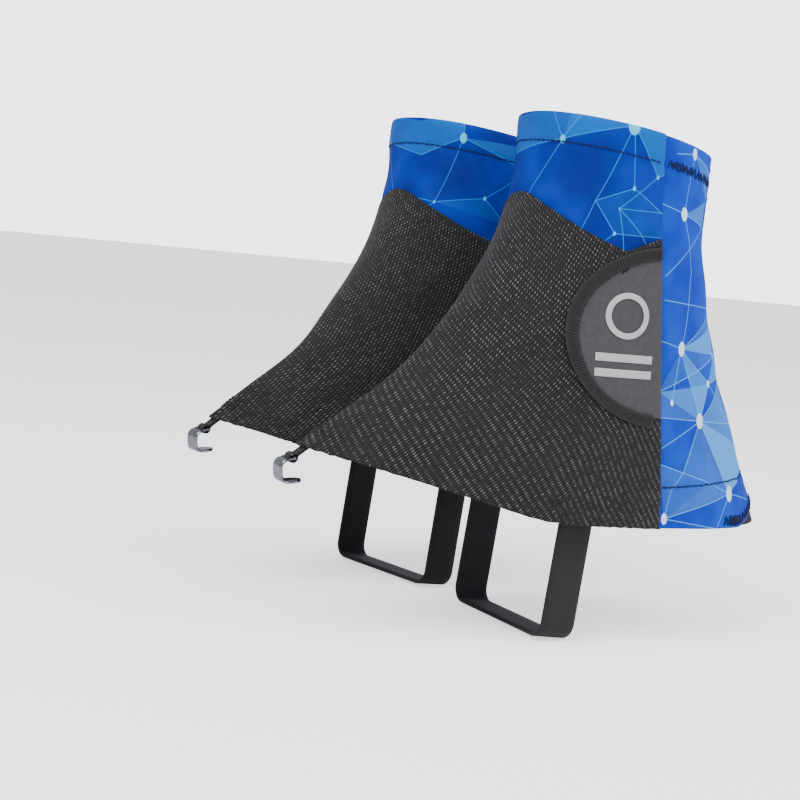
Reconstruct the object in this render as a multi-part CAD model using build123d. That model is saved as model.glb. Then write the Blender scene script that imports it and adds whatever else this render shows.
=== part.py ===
from build123d import *
import functools
import math
import os

# A pair of low running gaiters, worn shape, millimetres, +Z up, toes towards -Y, left gaiter at +X.
# Z = 0 is the lowest face of the straps that pass under the shoes.  Each gaiter is made in its own
# frame, with the leg axis on Z and the outer side of the leg towards +X, then set in its place in
# the pair.  The right gaiter is the mirror image of the left one.

# ---- the pair
AXIS_SPACING = 100.0       # between the two leg axes
LEG_Y = 29.0               # leg axes behind the middle of the pair's length
TOE_IN = 4.75              # degrees that each toe turns inwards

# ---- the body's shape: level by level, from under the hem up to the rim.  At each level the body
# is cut by a plane that tilts down to the back: reach and height at the front, reach and height at
# the back, half width, and how much the front draws in to a nose.
LEVELS = (
    (140.0, 66.5, 93.0, 10.0, 45.0, 0.55),
    (118.5, 82.5, 91.0, 39.0, 44.0, 0.50),
    (91.0, 103.8, 76.5, 69.0, 42.5, 0.40),
    (71.0, 128.0, 62.5, 97.0, 41.0, 0.25),
    (55.0, 152.0, 50.0, 129.0, 39.5, 0.10),
    (45.0, 180.0, 42.0, 160.0, 38.5, 0.0),
    (44.0, 214.0, 41.0, 201.5, 39.0, 0.0),
)
SECTION_POINTS = 18        # points around each section

# ---- layers, as depths under the outermost surface
SHELL = 1.0                # knitted cuff cloth and woven mesh
TAPE = 0.6                 # hook tape and loop tape
CLEARANCE = 0.3            # free space between the mated tapes
ELASTIC = 0.8
FACING = 0.6               # turned-in edge of the cuff
WEBBING = 0.8              # patches behind the strap ends
STITCH_GAP = 0.05          # loose fit between two layers that are sewn together
SEAM_PROUD = 0.5           # overlocked seam around the side patch
BADGE_PROUD = 0.2          # printed badge
TACK_PROUD = 0.35          # bar tacks
LAP = SHELL + TAPE + CLEARANCE + TAPE + 2 * STITCH_GAP   # depth of the back panel's outer face

# ---- side view lines, as (y, z)
RIM_FRONT = (-44.0, 208.0)
RIM_BACK = (41.0, 195.5)
HEM_LINE = ((-165.0, 79.0), (-95.0, 63.0), (-42.0, 49.5), (10.0, 48.0), (60.0, 47.0), (110.0, 46.5))
HEEL_ARCH = ((60.0, 46.0), (80.0, 50.0), (92.0, 64.0), (94.0, 70.0))
CUFF_SEAM = (
    (-60.0, 196.0), (-50.0, 184.0), (-46.2, 176.5), (-43.8, 171.3), (-39.6, 167.2), (-33.2, 162.4), (-25.4, 158.6),
    (-17.0, 156.0), (-8.0, 159.4), (0.0, 162.6), (40.0, 169.0),
)
FLAP_EDGE = ((-6.0, 201.0), (7.7, 48.8))
FLAP_HINGE = ((-28.0, 200.0), (-56.0, 50.0))
INNER_SEAM = ((18.0, 200.0), (30.0, 48.0))
HINGE_GAP = 0.6            # between the flap's front edge and the front panel
UNDERLAP_START = 6.0       # the back panel begins this far behind the flap's fold
SEAM_LAP = 8.0             # overlap of front and back at the inner seam
SEAM_CLEAR = 0.5           # between the bands inside the front and the seam tape
BAND_CLEAR = 1.0           # between the flap's hem band and its fold

# ---- closure tapes, patch and badge
HOOK_TAPE_W = 22.0
LOOP_TAPE_W = 32.0
TAPE_INSET = 3.0           # from the flap's edge
TAPE_FROM_HEM = 10.0
TAPE_FROM_RIM = 15.0
PATCH_Z = 123.4
PATCH_REACH = 36.0
PATCH_HALF_H = 31.5
PATCH_SEAM_W = 4.5
PATCH_SEAM_LAP = 0.8       # of the seam over the patch
BADGE_Y = -15.0
BADGE_Z = 131.0
BADGE_R = 9.0
BADGE_LINE = 2.2
BADGE_BAR = (24.0, 3.0)
BADGE_BAR_Z = (114.5, 108.5)

# ---- bands
CUFF_HEM_H = 12.0
ELASTIC_FROM_RIM = 1.5
CUFF_ELASTIC_H = 9.5
BACK_ELASTIC_H = 10.0
BACK_ELASTIC_INSET = 10.0  # its front end, from the flap's free edge
HEM_BAND_H = 6.0
HEEL_BAND_Y = 42.0
HEEL_BAND_TOP = 74.0

# ---- strap under the shoe
STRAP_W = 16.0
STRAP_T = 1.6
STRAP_Y = -25.0
STRAP_PIVOT_Z = 50.0
STRAP_OUTER_X = 34.0
STRAP_INNER_X = 35.6
STRAP_CORNER_R = 7.0
STRAP_LEAN = 5.0           # degrees, foot of the strap forwards
ANCHOR_W = 20.0
ANCHOR_TOP = 67.0

# ---- lace hook and its tab
HOOK_Y = -135.0
HOOK_Z = 66.2
HOOK_W = 8.0
HOOK_T = 1.2
HOOK_BAR_R = 0.8
HOOK_SLOT_W = 5.8
HOOK_PATH = ((0.0, 0.0), (-5.4, -1.4), (-4.6, -9.6), (4.6, -8.6))
HOOK_BEND_R = 3.4
TAB_W = 4.8
TAB_T = 0.8
TAB_LOOP_R = 1.3           # inside the loop
TAB_LENGTH = 15.0
TAB_SLOPE = 37.0
HOOK_SLOT_CLEAR = 0.7      # between the slot's end and the tab
HOOK_TIP_FLAT = 0.8        # half the straight part of the lip's end

# ---- bar tacks: y, z, slope in degrees, length, width
HEEL_TACK = (73.0, 56.0, 35.0, 14.0, 3.5)
CUFF_TACK = (15.0, 188.0, -8.0, 20.0, 3.5)
TOE_TACK = (-122.0, 78.0, TAB_SLOPE, 3.0, 12.0)
TOE_TACK_W = 9.0

FAR = 320.0                # larger than the whole object


def section(level, depth):
    """One closed section of the body, a depth under its outer surface, and its wire."""
    front, front_z, back, back_z, half_w, nose = level
    front -= depth
    back -= depth
    half_w -= depth
    reach = (front + back) / 2
    mid_y = (back - front) / 2
    mid_z = (front_z + back_z) / 2
    rise = (front_z - back_z) / 2
    widest = max(
        math.sin(a) * math.sin(a / 2) ** nose
        for a in (math.pi * k / 180 for k in range(1, 180))
    )
    points = []
    for k in range(SECTION_POINTS):
        a = 2 * math.pi * k / SECTION_POINTS
        x = half_w * math.sin(a) * abs(math.sin(a / 2)) ** nose / widest
        points.append((x, mid_y - reach * math.cos(a), mid_z + rise * math.cos(a)))
    return Wire([Edge.make_spline([Vector(*p) for p in points], periodic=True)])


@functools.cache
def body(depth):
    """The whole body, solid, a depth under its outer surface."""
    return Part(Solid.make_loft([section(level, depth) for level in LEVELS]).wrapped)


@functools.cache
def wall(depth, thickness):
    """A wall of a given thickness, its outer face at a depth, from hem to rim."""
    inner_depth = round(depth + thickness, 3)
    return (body(round(depth, 3)) - body(inner_depth)) & HEM & RIM


def prism(outline, side):
    """A side-view outline pushed along X: outer half, inner half or both halves of the leg."""
    face = Plane.YZ * outline
    overlap = 1.0
    if side == "outer":
        return Pos(-overlap, 0, 0) * extrude(face, FAR)
    if side == "inner":
        return Pos(overlap, 0, 0) * extrude(face, -FAR)
    return extrude(face, FAR, both=True)


def polygon(*points):
    return make_face(Polyline(*points, close=True))


def over_curve(points, top=FAR):
    """Everything above a smooth line, which runs on level past its two ends."""
    first, last = points[0], points[-1]
    around = ((FAR, last[1]), (FAR, top), (-FAR, top), (-FAR, first[1]))
    return make_face([Spline(*points), Polyline(last, *around, first)])


def under_curve(points):
    return over_curve(points, -FAR)


def lifted(points, dz):
    return tuple((y, z + dz) for y, z in points)


def stretched(line, shift=0.0):
    """A straight side-view line moved along Y and made long at both ends."""
    (y1, z1), (y2, z2) = line
    slope = (y2 - y1) / (z2 - z1)
    return (y1 + shift + slope * (FAR - z1), FAR), (y1 + shift - slope * (FAR + z1), -FAR)


def between(front_line, back_line):
    """The strip between two steep lines."""
    return polygon(front_line[0], front_line[1], back_line[1], back_line[0])


def behind(line):
    return between(line, ((FAR, FAR), (FAR, -FAR)))


def rim_band(low, high):
    """The strip from one height to another under the rim."""
    (y1, z1), (y2, z2) = RIM_FRONT, RIM_BACK
    slope = (z2 - z1) / (y2 - y1)
    front_z = z1 - slope * (FAR + y1)
    back_z = z1 + slope * (FAR - y1)
    return polygon((-FAR, front_z - low), (FAR, back_z - low), (FAR, back_z - high), (-FAR, front_z - high))


def ellipse_ring(cy, cz, ry, rz, inset, outset):
    outer = Pos(cy, cz) * Ellipse(ry + outset, rz + outset)
    return outer - Pos(cy, cz) * Ellipse(ry - inset, rz - inset)


def edge_y(z):
    """Where the flap's free edge is, at a height."""
    (y1, z1), (y2, z2) = FLAP_EDGE
    return y1 + (y2 - y1) * (z - z1) / (z2 - z1)


HEM = prism(over_curve(HEM_LINE), "both")
RIM = prism(rim_band(FAR, 0.0), "both")
OUTER_BEHIND_HINGE = prism(behind(stretched(FLAP_HINGE)), "outer")
INNER_BEHIND_SEAM = prism(behind(stretched(INNER_SEAM)), "inner")
INNER_BEHIND_LAP = prism(behind(stretched(INNER_SEAM, -SEAM_LAP - SEAM_CLEAR)), "inner")
FLAP_AREA = prism(between(stretched(FLAP_HINGE, HINGE_GAP), stretched(FLAP_EDGE)), "outer")
MESH_AREA = prism(under_curve(CUFF_SEAM), "both")
PATCH_FACE = Pos(edge_y(PATCH_Z), PATCH_Z) * Ellipse(PATCH_REACH, PATCH_HALF_H)


@functools.cache
def front_shell():
    """The front half of the body: from the inner seam round the shin to the flap's fold."""
    return (wall(0, SHELL) - OUTER_BEHIND_HINGE) - INNER_BEHIND_SEAM


def front_panel():
    return front_shell() & MESH_AREA


def cuff_front():
    return front_shell() - MESH_AREA


def front_band(depth, thickness, area):
    """A band inside the front shell, clear of the fold and of the inner seam."""
    band = wall(depth + STITCH_GAP, thickness) & area
    return (band - OUTER_BEHIND_HINGE) - INNER_BEHIND_LAP


def cuff_elastic():
    return front_band(SHELL, ELASTIC, prism(rim_band(CUFF_ELASTIC_H, ELASTIC_FROM_RIM), "both"))


def cuff_facing():
    return front_band(SHELL + ELASTIC + STITCH_GAP, FACING, prism(rim_band(CUFF_HEM_H, 0.0), "both"))


def hem_band_area():
    return prism(over_curve(HEM_LINE), "both") - prism(over_curve(lifted(HEM_LINE, HEM_BAND_H)), "both")


def hem_elastic():
    return front_band(SHELL, ELASTIC, hem_band_area())


def inner_seam_tape():
    strip = between(stretched(INNER_SEAM, -SEAM_LAP), stretched(INNER_SEAM))
    return wall(SHELL + STITCH_GAP, LAP - SHELL - 2 * STITCH_GAP) & prism(strip, "inner")


def back_area():
    start = stretched(FLAP_HINGE, UNDERLAP_START)
    outer = prism(behind(start), "outer")
    inner = prism(behind(stretched(INNER_SEAM, -SEAM_LAP)), "inner")
    return outer + inner


def heel_arch():
    """The raised opening in the back panel's hem, over the heel."""
    first, last = HEEL_ARCH[0], HEEL_ARCH[-1]
    return make_face([Spline(*HEEL_ARCH), Polyline(last, (FAR, last[1]), (FAR, 0), (first[0], 0), first)])


def back_panel():
    return (wall(LAP, SHELL) & back_area()) - prism(heel_arch(), "both")


def back_cuff_elastic():
    clear = prism(behind(stretched(FLAP_EDGE, -BACK_ELASTIC_INSET)), "outer") + prism(behind(stretched(INNER_SEAM)), "inner")
    return wall(LAP + SHELL + STITCH_GAP, ELASTIC) & clear & prism(rim_band(BACK_ELASTIC_H, ELASTIC_FROM_RIM), "both")


def heel_elastic():
    area = polygon((HEEL_BAND_Y, 0), (FAR, 0), (FAR, HEEL_BAND_TOP), (HEEL_BAND_Y, HEEL_BAND_TOP))
    return wall(LAP + SHELL + STITCH_GAP, ELASTIC) & prism(area, "both")


def tape_height():
    """Between the hem and the rim, clear of both."""
    low = prism(over_curve(lifted(HEM_LINE, TAPE_FROM_HEM)), "outer")
    return low & prism(rim_band(FAR, TAPE_FROM_RIM), "outer")


def hook_tape():
    strip = between(stretched(FLAP_EDGE, -TAPE_INSET - HOOK_TAPE_W), stretched(FLAP_EDGE, -TAPE_INSET))
    return wall(SHELL + STITCH_GAP, TAPE) & tape_height() & prism(strip, "outer") & FLAP_AREA


def loop_tape():
    strip = between(stretched(FLAP_EDGE, -TAPE_INSET - LOOP_TAPE_W), stretched(FLAP_EDGE, -TAPE_INSET))
    start = prism(behind(stretched(FLAP_HINGE, UNDERLAP_START)), "outer")
    return wall(LAP - TAPE - STITCH_GAP, TAPE) & tape_height() & prism(strip, "outer") & start


@functools.cache
def flap():
    return wall(0, SHELL) & FLAP_AREA


def flap_panel():
    return (flap() & MESH_AREA) - prism(PATCH_FACE, "outer")


def flap_cuff():
    return flap() - MESH_AREA


def side_patch():
    return flap() & prism(PATCH_FACE, "outer")


def patch_seam():
    ring = ellipse_ring(edge_y(PATCH_Z), PATCH_Z, PATCH_REACH, PATCH_HALF_H, PATCH_SEAM_LAP, PATCH_SEAM_W - PATCH_SEAM_LAP)
    return wall(-SEAM_PROUD - STITCH_GAP, SEAM_PROUD) & prism(ring, "outer") & FLAP_AREA


def patch_badge():
    """A plain ring over two bars."""
    face = Pos(BADGE_Y, BADGE_Z) * (Circle(BADGE_R) - Circle(BADGE_R - BADGE_LINE))
    for z in BADGE_BAR_Z:
        face += Pos(BADGE_Y, z) * Rectangle(*BADGE_BAR)
    return wall(-BADGE_PROUD - STITCH_GAP, BADGE_PROUD) & prism(face, "outer")


def flap_hem_elastic():
    start = prism(behind(stretched(FLAP_HINGE, HINGE_GAP + BAND_CLEAR)), "outer")
    return wall(SHELL + STITCH_GAP, ELASTIC) & hem_band_area() & FLAP_AREA & start


def anchor_face():
    low = STRAP_PIVOT_Z
    return Pos(STRAP_Y, (low + ANCHOR_TOP) / 2) * Rectangle(ANCHOR_W, ANCHOR_TOP - low)


def strap_anchor_outer():
    return wall(LAP + SHELL + STITCH_GAP, WEBBING) & prism(anchor_face(), "outer")


def strap_anchor_inner():
    return wall(SHELL + ELASTIC + 2 * STITCH_GAP, WEBBING) & prism(anchor_face(), "inner")


def underfoot_strap():
    """A flat U of webbing, its two ends rounded about the line it swings on."""
    width = STRAP_OUTER_X + STRAP_INNER_X
    middle = (STRAP_OUTER_X - STRAP_INNER_X) / 2
    lean = math.radians(STRAP_LEAN)
    drop = (STRAP_PIVOT_Z - STRAP_W / 2 * math.sin(lean)) / math.cos(lean)
    top = drop + STRAP_W / 2
    outline = Pos(0, FAR / 2) * RectangleRounded(width, FAR, STRAP_CORNER_R)
    inside = Pos(0, FAR / 2) * RectangleRounded(width - 2 * STRAP_T, FAR - 2 * STRAP_T, STRAP_CORNER_R - STRAP_T)
    band = extrude(Plane.XZ * Pos(middle, 0) * (outline - inside), STRAP_W / 2, both=True)
    side = Pos(0, drop) * Circle(STRAP_W / 2) + Pos(0, drop / 2) * Rectangle(STRAP_W, drop)
    strap = band & prism(side, "both") & Pos(0, 0, top / 2) * Box(FAR, FAR, top)
    swing = Pos(0, STRAP_Y, STRAP_PIVOT_Z) * Rot(-STRAP_LEAN, 0, 0) * Pos(0, 0, -drop)
    return swing * strap


def hook_tab():
    """A loop of narrow tape that holds the hook's bar, its tail under the front hem."""
    loop = Circle(TAB_LOOP_R + TAB_T) - Circle(TAB_LOOP_R)
    tail = Pos(TAB_LOOP_R + TAB_LENGTH / 2, 0) * Rectangle(TAB_LENGTH, 2 * TAB_T)
    face = loop + (tail - Circle(TAB_LOOP_R))
    tab = extrude(Plane.YZ * Rot(0, 0, TAB_SLOPE) * face, TAB_W / 2, both=True)
    return Pos(0, HOOK_Y, HOOK_Z) * tab


def lace_hook():
    """A bent strip with a slot for the tab, open to the back, and a rounded lip."""
    strip = trace(FilletPolyline(*HOOK_PATH, radius=HOOK_BEND_R), line_width=HOOK_T)
    hook = extrude(Plane.YZ * strip, HOOK_W / 2, both=True)
    tip_y, tip_z = HOOK_PATH[-1]
    corners = [e for e in hook.edges().filter_by(Axis.Z, tolerance=12) if e.center().Y > tip_y - 1.0]
    hook = fillet(corners, HOOK_W / 2 - HOOK_TIP_FLAT)
    hook -= Rot(0, 90, 0) * Cylinder(TAB_LOOP_R + TAB_T + HOOK_SLOT_CLEAR, HOOK_SLOT_W)
    hook += Rot(0, 90, 0) * Cylinder(HOOK_BAR_R, HOOK_W)
    return Pos(0, HOOK_Y, HOOK_Z) * hook


def tack(depth, size, side):
    """A raised bar of stitching on the face at a depth."""
    y, z, slope, length, width = size
    outline = Pos(y, z) * Rot(0, 0, slope) * Rectangle(length, width)
    return wall(depth - TACK_PROUD - STITCH_GAP, TACK_PROUD) & prism(outline, side)


def bar_tacks():
    """Dense stitching at the ends of the back panel's two hems and over the tab."""
    tacks = [tack(LAP, HEEL_TACK, side) for side in ("outer", "inner")]
    tacks.append(tack(LAP, CUFF_TACK, "outer"))
    tacks.append(tack(0, TOE_TACK, "both") & Box(TOE_TACK_W, 2 * FAR, 2 * FAR))
    return tacks


PIECES = {
    "front_panel": front_panel,
    "cuff_front": cuff_front,
    "cuff_elastic": cuff_elastic,
    "cuff_facing": cuff_facing,
    "hem_elastic": hem_elastic,
    "inner_seam_tape": inner_seam_tape,
    "back_panel": back_panel,
    "back_cuff_elastic": back_cuff_elastic,
    "heel_elastic": heel_elastic,
    "loop_tape": loop_tape,
    "flap_panel": flap_panel,
    "flap_cuff": flap_cuff,
    "side_patch": side_patch,
    "patch_seam": patch_seam,
    "patch_badge": patch_badge,
    "hook_tape": hook_tape,
    "flap_hem_elastic": flap_hem_elastic,
    "strap_anchor_outer": strap_anchor_outer,
    "strap_anchor_inner": strap_anchor_inner,
    "underfoot_strap": underfoot_strap,
    "hook_tab": hook_tab,
    "lace_hook": lace_hook,
    "bar_tacks": bar_tacks,
}


def solids_of(shape):
    shapes = shape if isinstance(shape, list) else [shape]
    return [solid for item in shapes for solid in item.solids()]


def main():
    os.makedirs("parts", exist_ok=True)
    place = Pos(AXIS_SPACING / 2, LEG_Y, 0) * Rot(0, 0, -TOE_IN)
    for name, make in PIECES.items():
        left = [place * solid for solid in solids_of(make())]
        right = [mirror(solid, Plane.YZ) for solid in left]
        for side, solids in (("left", left), ("right", right)):
            export_step(Compound(children=solids) if len(solids) > 1 else solids[0], f"parts/{side}_{name}.step")
        box = Compound(children=list(left)).bounding_box()
        print(f"{name:20s} solids {len(left)}  volume {sum(s.volume for s in left):9.1f}  "
              f"x {box.min.X:7.1f} {box.max.X:7.1f}  y {box.min.Y:7.1f} {box.max.Y:7.1f}  "
              f"z {box.min.Z:7.1f} {box.max.Z:7.1f}")


main()
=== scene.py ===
"""Looks of a pair of low running gaiters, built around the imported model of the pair."""
import logging
import math
import random
from dataclasses import dataclass
from enum import Enum
from typing import Callable, Optional, Sequence, Union

import bpy
import numpy as np
from mathutils import Matrix, Vector


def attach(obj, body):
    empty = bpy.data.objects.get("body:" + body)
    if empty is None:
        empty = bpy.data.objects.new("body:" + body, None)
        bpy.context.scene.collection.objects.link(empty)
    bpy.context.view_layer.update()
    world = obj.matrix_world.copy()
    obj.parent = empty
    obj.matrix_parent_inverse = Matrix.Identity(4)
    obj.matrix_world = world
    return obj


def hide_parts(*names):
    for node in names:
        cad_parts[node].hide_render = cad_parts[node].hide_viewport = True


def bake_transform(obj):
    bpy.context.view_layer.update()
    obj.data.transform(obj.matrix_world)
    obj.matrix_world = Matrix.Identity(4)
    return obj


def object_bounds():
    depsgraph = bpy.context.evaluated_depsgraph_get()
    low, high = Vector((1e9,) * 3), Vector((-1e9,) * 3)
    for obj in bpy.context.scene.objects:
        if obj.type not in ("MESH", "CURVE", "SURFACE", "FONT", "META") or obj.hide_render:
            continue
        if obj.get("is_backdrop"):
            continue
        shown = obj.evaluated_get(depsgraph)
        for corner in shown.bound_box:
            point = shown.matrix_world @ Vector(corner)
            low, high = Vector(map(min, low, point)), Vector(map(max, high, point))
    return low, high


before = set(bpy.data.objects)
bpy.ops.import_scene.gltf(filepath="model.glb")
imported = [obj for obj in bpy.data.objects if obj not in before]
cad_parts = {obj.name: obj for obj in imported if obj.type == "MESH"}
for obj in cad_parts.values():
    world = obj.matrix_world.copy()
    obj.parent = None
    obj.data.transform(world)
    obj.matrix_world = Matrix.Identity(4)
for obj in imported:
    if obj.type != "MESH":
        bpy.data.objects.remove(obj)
CAD_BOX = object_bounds()

MM = 0.001
CLOTH_MAP = "Cloth"
Line = Callable[[np.ndarray], np.ndarray]
Socket = bpy.types.NodeSocket
Value = Union[float, Socket]
Colour = tuple[float, float, float]
log = logging.getLogger("gaiters")


class Side(Enum):
    """Which foot a gaiter is worn on."""

    LEFT = "left"
    RIGHT = "right"


# --------------------------------------------------------------------------- shader graphs


class Graph:
    """A short way to lay nodes in one node tree.

    Args:
        tree: The tree that the nodes go into.
    """

    def __init__(self, tree: bpy.types.NodeTree) -> None:
        """Takes the tree to work in."""
        self.tree = tree

    def node(self, kind: str, **settings: object) -> bpy.types.Node:
        """Adds one node.

        Args:
            kind: The node's type name, without its "ShaderNode" start.
            settings: Attributes to set on it.

        Returns:
            The node.
        """
        node = self.tree.nodes.new(f"ShaderNode{kind}")
        for name, value in settings.items():
            setattr(node, name, value)
        return node

    def feed(self, socket: Socket, value: object) -> None:
        """Links a socket into another, or sets a plain value on it.

        Args:
            socket: The input that is fed.
            value: A socket, a number or a colour.
        """
        if isinstance(value, bpy.types.NodeSocket):
            self.tree.links.new(value, socket)
        elif hasattr(value, "__len__") and socket.type == "RGBA" and len(value) == 3:
            socket.default_value = (*value, 1.0)
        else:
            socket.default_value = value

    def math(self, operation: str, a: Value, b: Value = 0.0, c: Value = 0.0) -> Socket:
        """A Math node.

        Args:
            operation: The operation's name.
            a: First value.
            b: Second value.
            c: Third value.

        Returns:
            The result's socket.
        """
        node = self.node("Math", operation=operation)
        for socket, value in zip(node.inputs, (a, b, c)):
            self.feed(socket, value)
        return node.outputs[0]

    def vector(self, operation: str, a: object, b: object = (0, 0, 0),
               scale: Optional[Value] = None) -> Socket:
        """A Vector Math node.

        Args:
            operation: The operation's name.
            a: First vector.
            b: Second vector.
            scale: The Scale input, where the operation has one.

        Returns:
            The vector result, or the number where the operation gives one.
        """
        node = self.node("VectorMath", operation=operation)
        self.feed(node.inputs[0], a)
        self.feed(node.inputs[1], b)
        if scale is not None:
            self.feed(node.inputs["Scale"], scale)
        return node.outputs["Value" if operation in ("LENGTH", "DOT_PRODUCT", "DISTANCE") else "Vector"]

    def combine(self, x: Value, y: Value, z: Value = 0.0) -> Socket:
        """A vector from three numbers.

        Args:
            x: First number.
            y: Second number.
            z: Third number.

        Returns:
            The vector's socket.
        """
        node = self.node("CombineXYZ")
        for socket, value in zip(node.inputs, (x, y, z)):
            self.feed(socket, value)
        return node.outputs[0]

    def split(self, vector: Socket) -> tuple[Socket, Socket, Socket]:
        """The three numbers of a vector."""
        node = self.node("SeparateXYZ")
        self.feed(node.inputs[0], vector)
        return tuple(node.outputs)

    def carried(self, inputs: dict[str, Socket]) -> tuple[Socket, Socket, Socket]:
        """A group's flat place and the mask so far, in one vector.

        The renderer then works out one shape of a print after another, and
        never has to hold the values of all of them at once.

        Args:
            inputs: The group's inputs by name.

        Returns:
            Across, up and the mask so far.
        """
        return self.split(self.vector("ADD", inputs["Place"], self.combine(0.0, 0.0, inputs["Mask"])))

    def ramp(self, value: Value, low: Value, high: Value, start: Value = 0.0, end: Value = 1.0) -> Socket:
        """A smooth step of a value from one range to another.

        Args:
            value: The value to map.
            low: Where the step begins.
            high: Where it ends.
            start: The result at low.
            end: The result at high.

        Returns:
            The mapped value's socket.
        """
        node = self.node("MapRange", interpolation_type="SMOOTHSTEP")
        for socket, item in zip(node.inputs, (value, low, high, start, end)):
            self.feed(socket, item)
        return node.outputs[0]

    def mix(self, factor: Value, a: object, b: object, blend: str = "MIX") -> Socket:
        """A colour mix.

        Args:
            factor: How much of b.
            a: First colour.
            b: Second colour.
            blend: The blend mode.

        Returns:
            The mixed colour's socket.
        """
        node = self.node("Mix", data_type="RGBA", blend_type=blend)
        self.feed(node.inputs["Factor"], factor)
        self.feed(node.inputs["A"], a)
        self.feed(node.inputs["B"], b)
        return node.outputs["Result"]

    def noise(self, place: Socket, scale: float, detail: float = 3.0, roughness: float = 0.55) -> Socket:
        """A noise value between 0 and 1 at a place.

        Args:
            place: Where.
            scale: How fine it is.
            detail: How many finer layers it has.
            roughness: How strong those are.

        Returns:
            The value's socket.
        """
        node = self.node("TexNoise", noise_dimensions="3D")
        self.feed(node.inputs["Vector"], place)
        node.inputs["Scale"].default_value = scale
        node.inputs["Detail"].default_value = detail
        node.inputs["Roughness"].default_value = roughness
        return node.outputs["Fac"]

    def grain(self, cell: Socket) -> Socket:
        """A random number for each cell."""
        node = self.node("TexWhiteNoise", noise_dimensions="3D")
        self.feed(node.inputs["Vector"], cell)
        return node.outputs["Value"]

    def group(self, tree: bpy.types.NodeTree, **values: object) -> bpy.types.Node:
        """Places a node group.

        Args:
            tree: The group.
            values: Its inputs by name, with underscores for spaces.

        Returns:
            The group node.
        """
        node = self.node("Group", node_tree=tree)
        for name, value in values.items():
            self.feed(node.inputs[name.replace("_", " ")], value)
        return node


def new_group(name: str, inputs: Sequence[tuple[str, str, object]],
              outputs: Sequence[tuple[str, str]]) -> tuple:
    """Begins a node group.

    Args:
        name: The group's name.
        inputs: Name, socket type and default of each input.
        outputs: Name and socket type of each output.

    Returns:
        The graph, the inputs by name and the output node.
    """
    tree = bpy.data.node_groups.new(name, "ShaderNodeTree")
    for label, kind, default in inputs:
        socket = tree.interface.new_socket(label, in_out="INPUT", socket_type=f"NodeSocket{kind}")
        if default is not None:
            socket.default_value = default
    for label, kind in outputs:
        tree.interface.new_socket(label, in_out="OUTPUT", socket_type=f"NodeSocket{kind}")
    graph = Graph(tree)
    entry, leave = tree.nodes.new("NodeGroupInput"), tree.nodes.new("NodeGroupOutput")
    return graph, {s.name: s for s in entry.outputs}, leave


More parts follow.
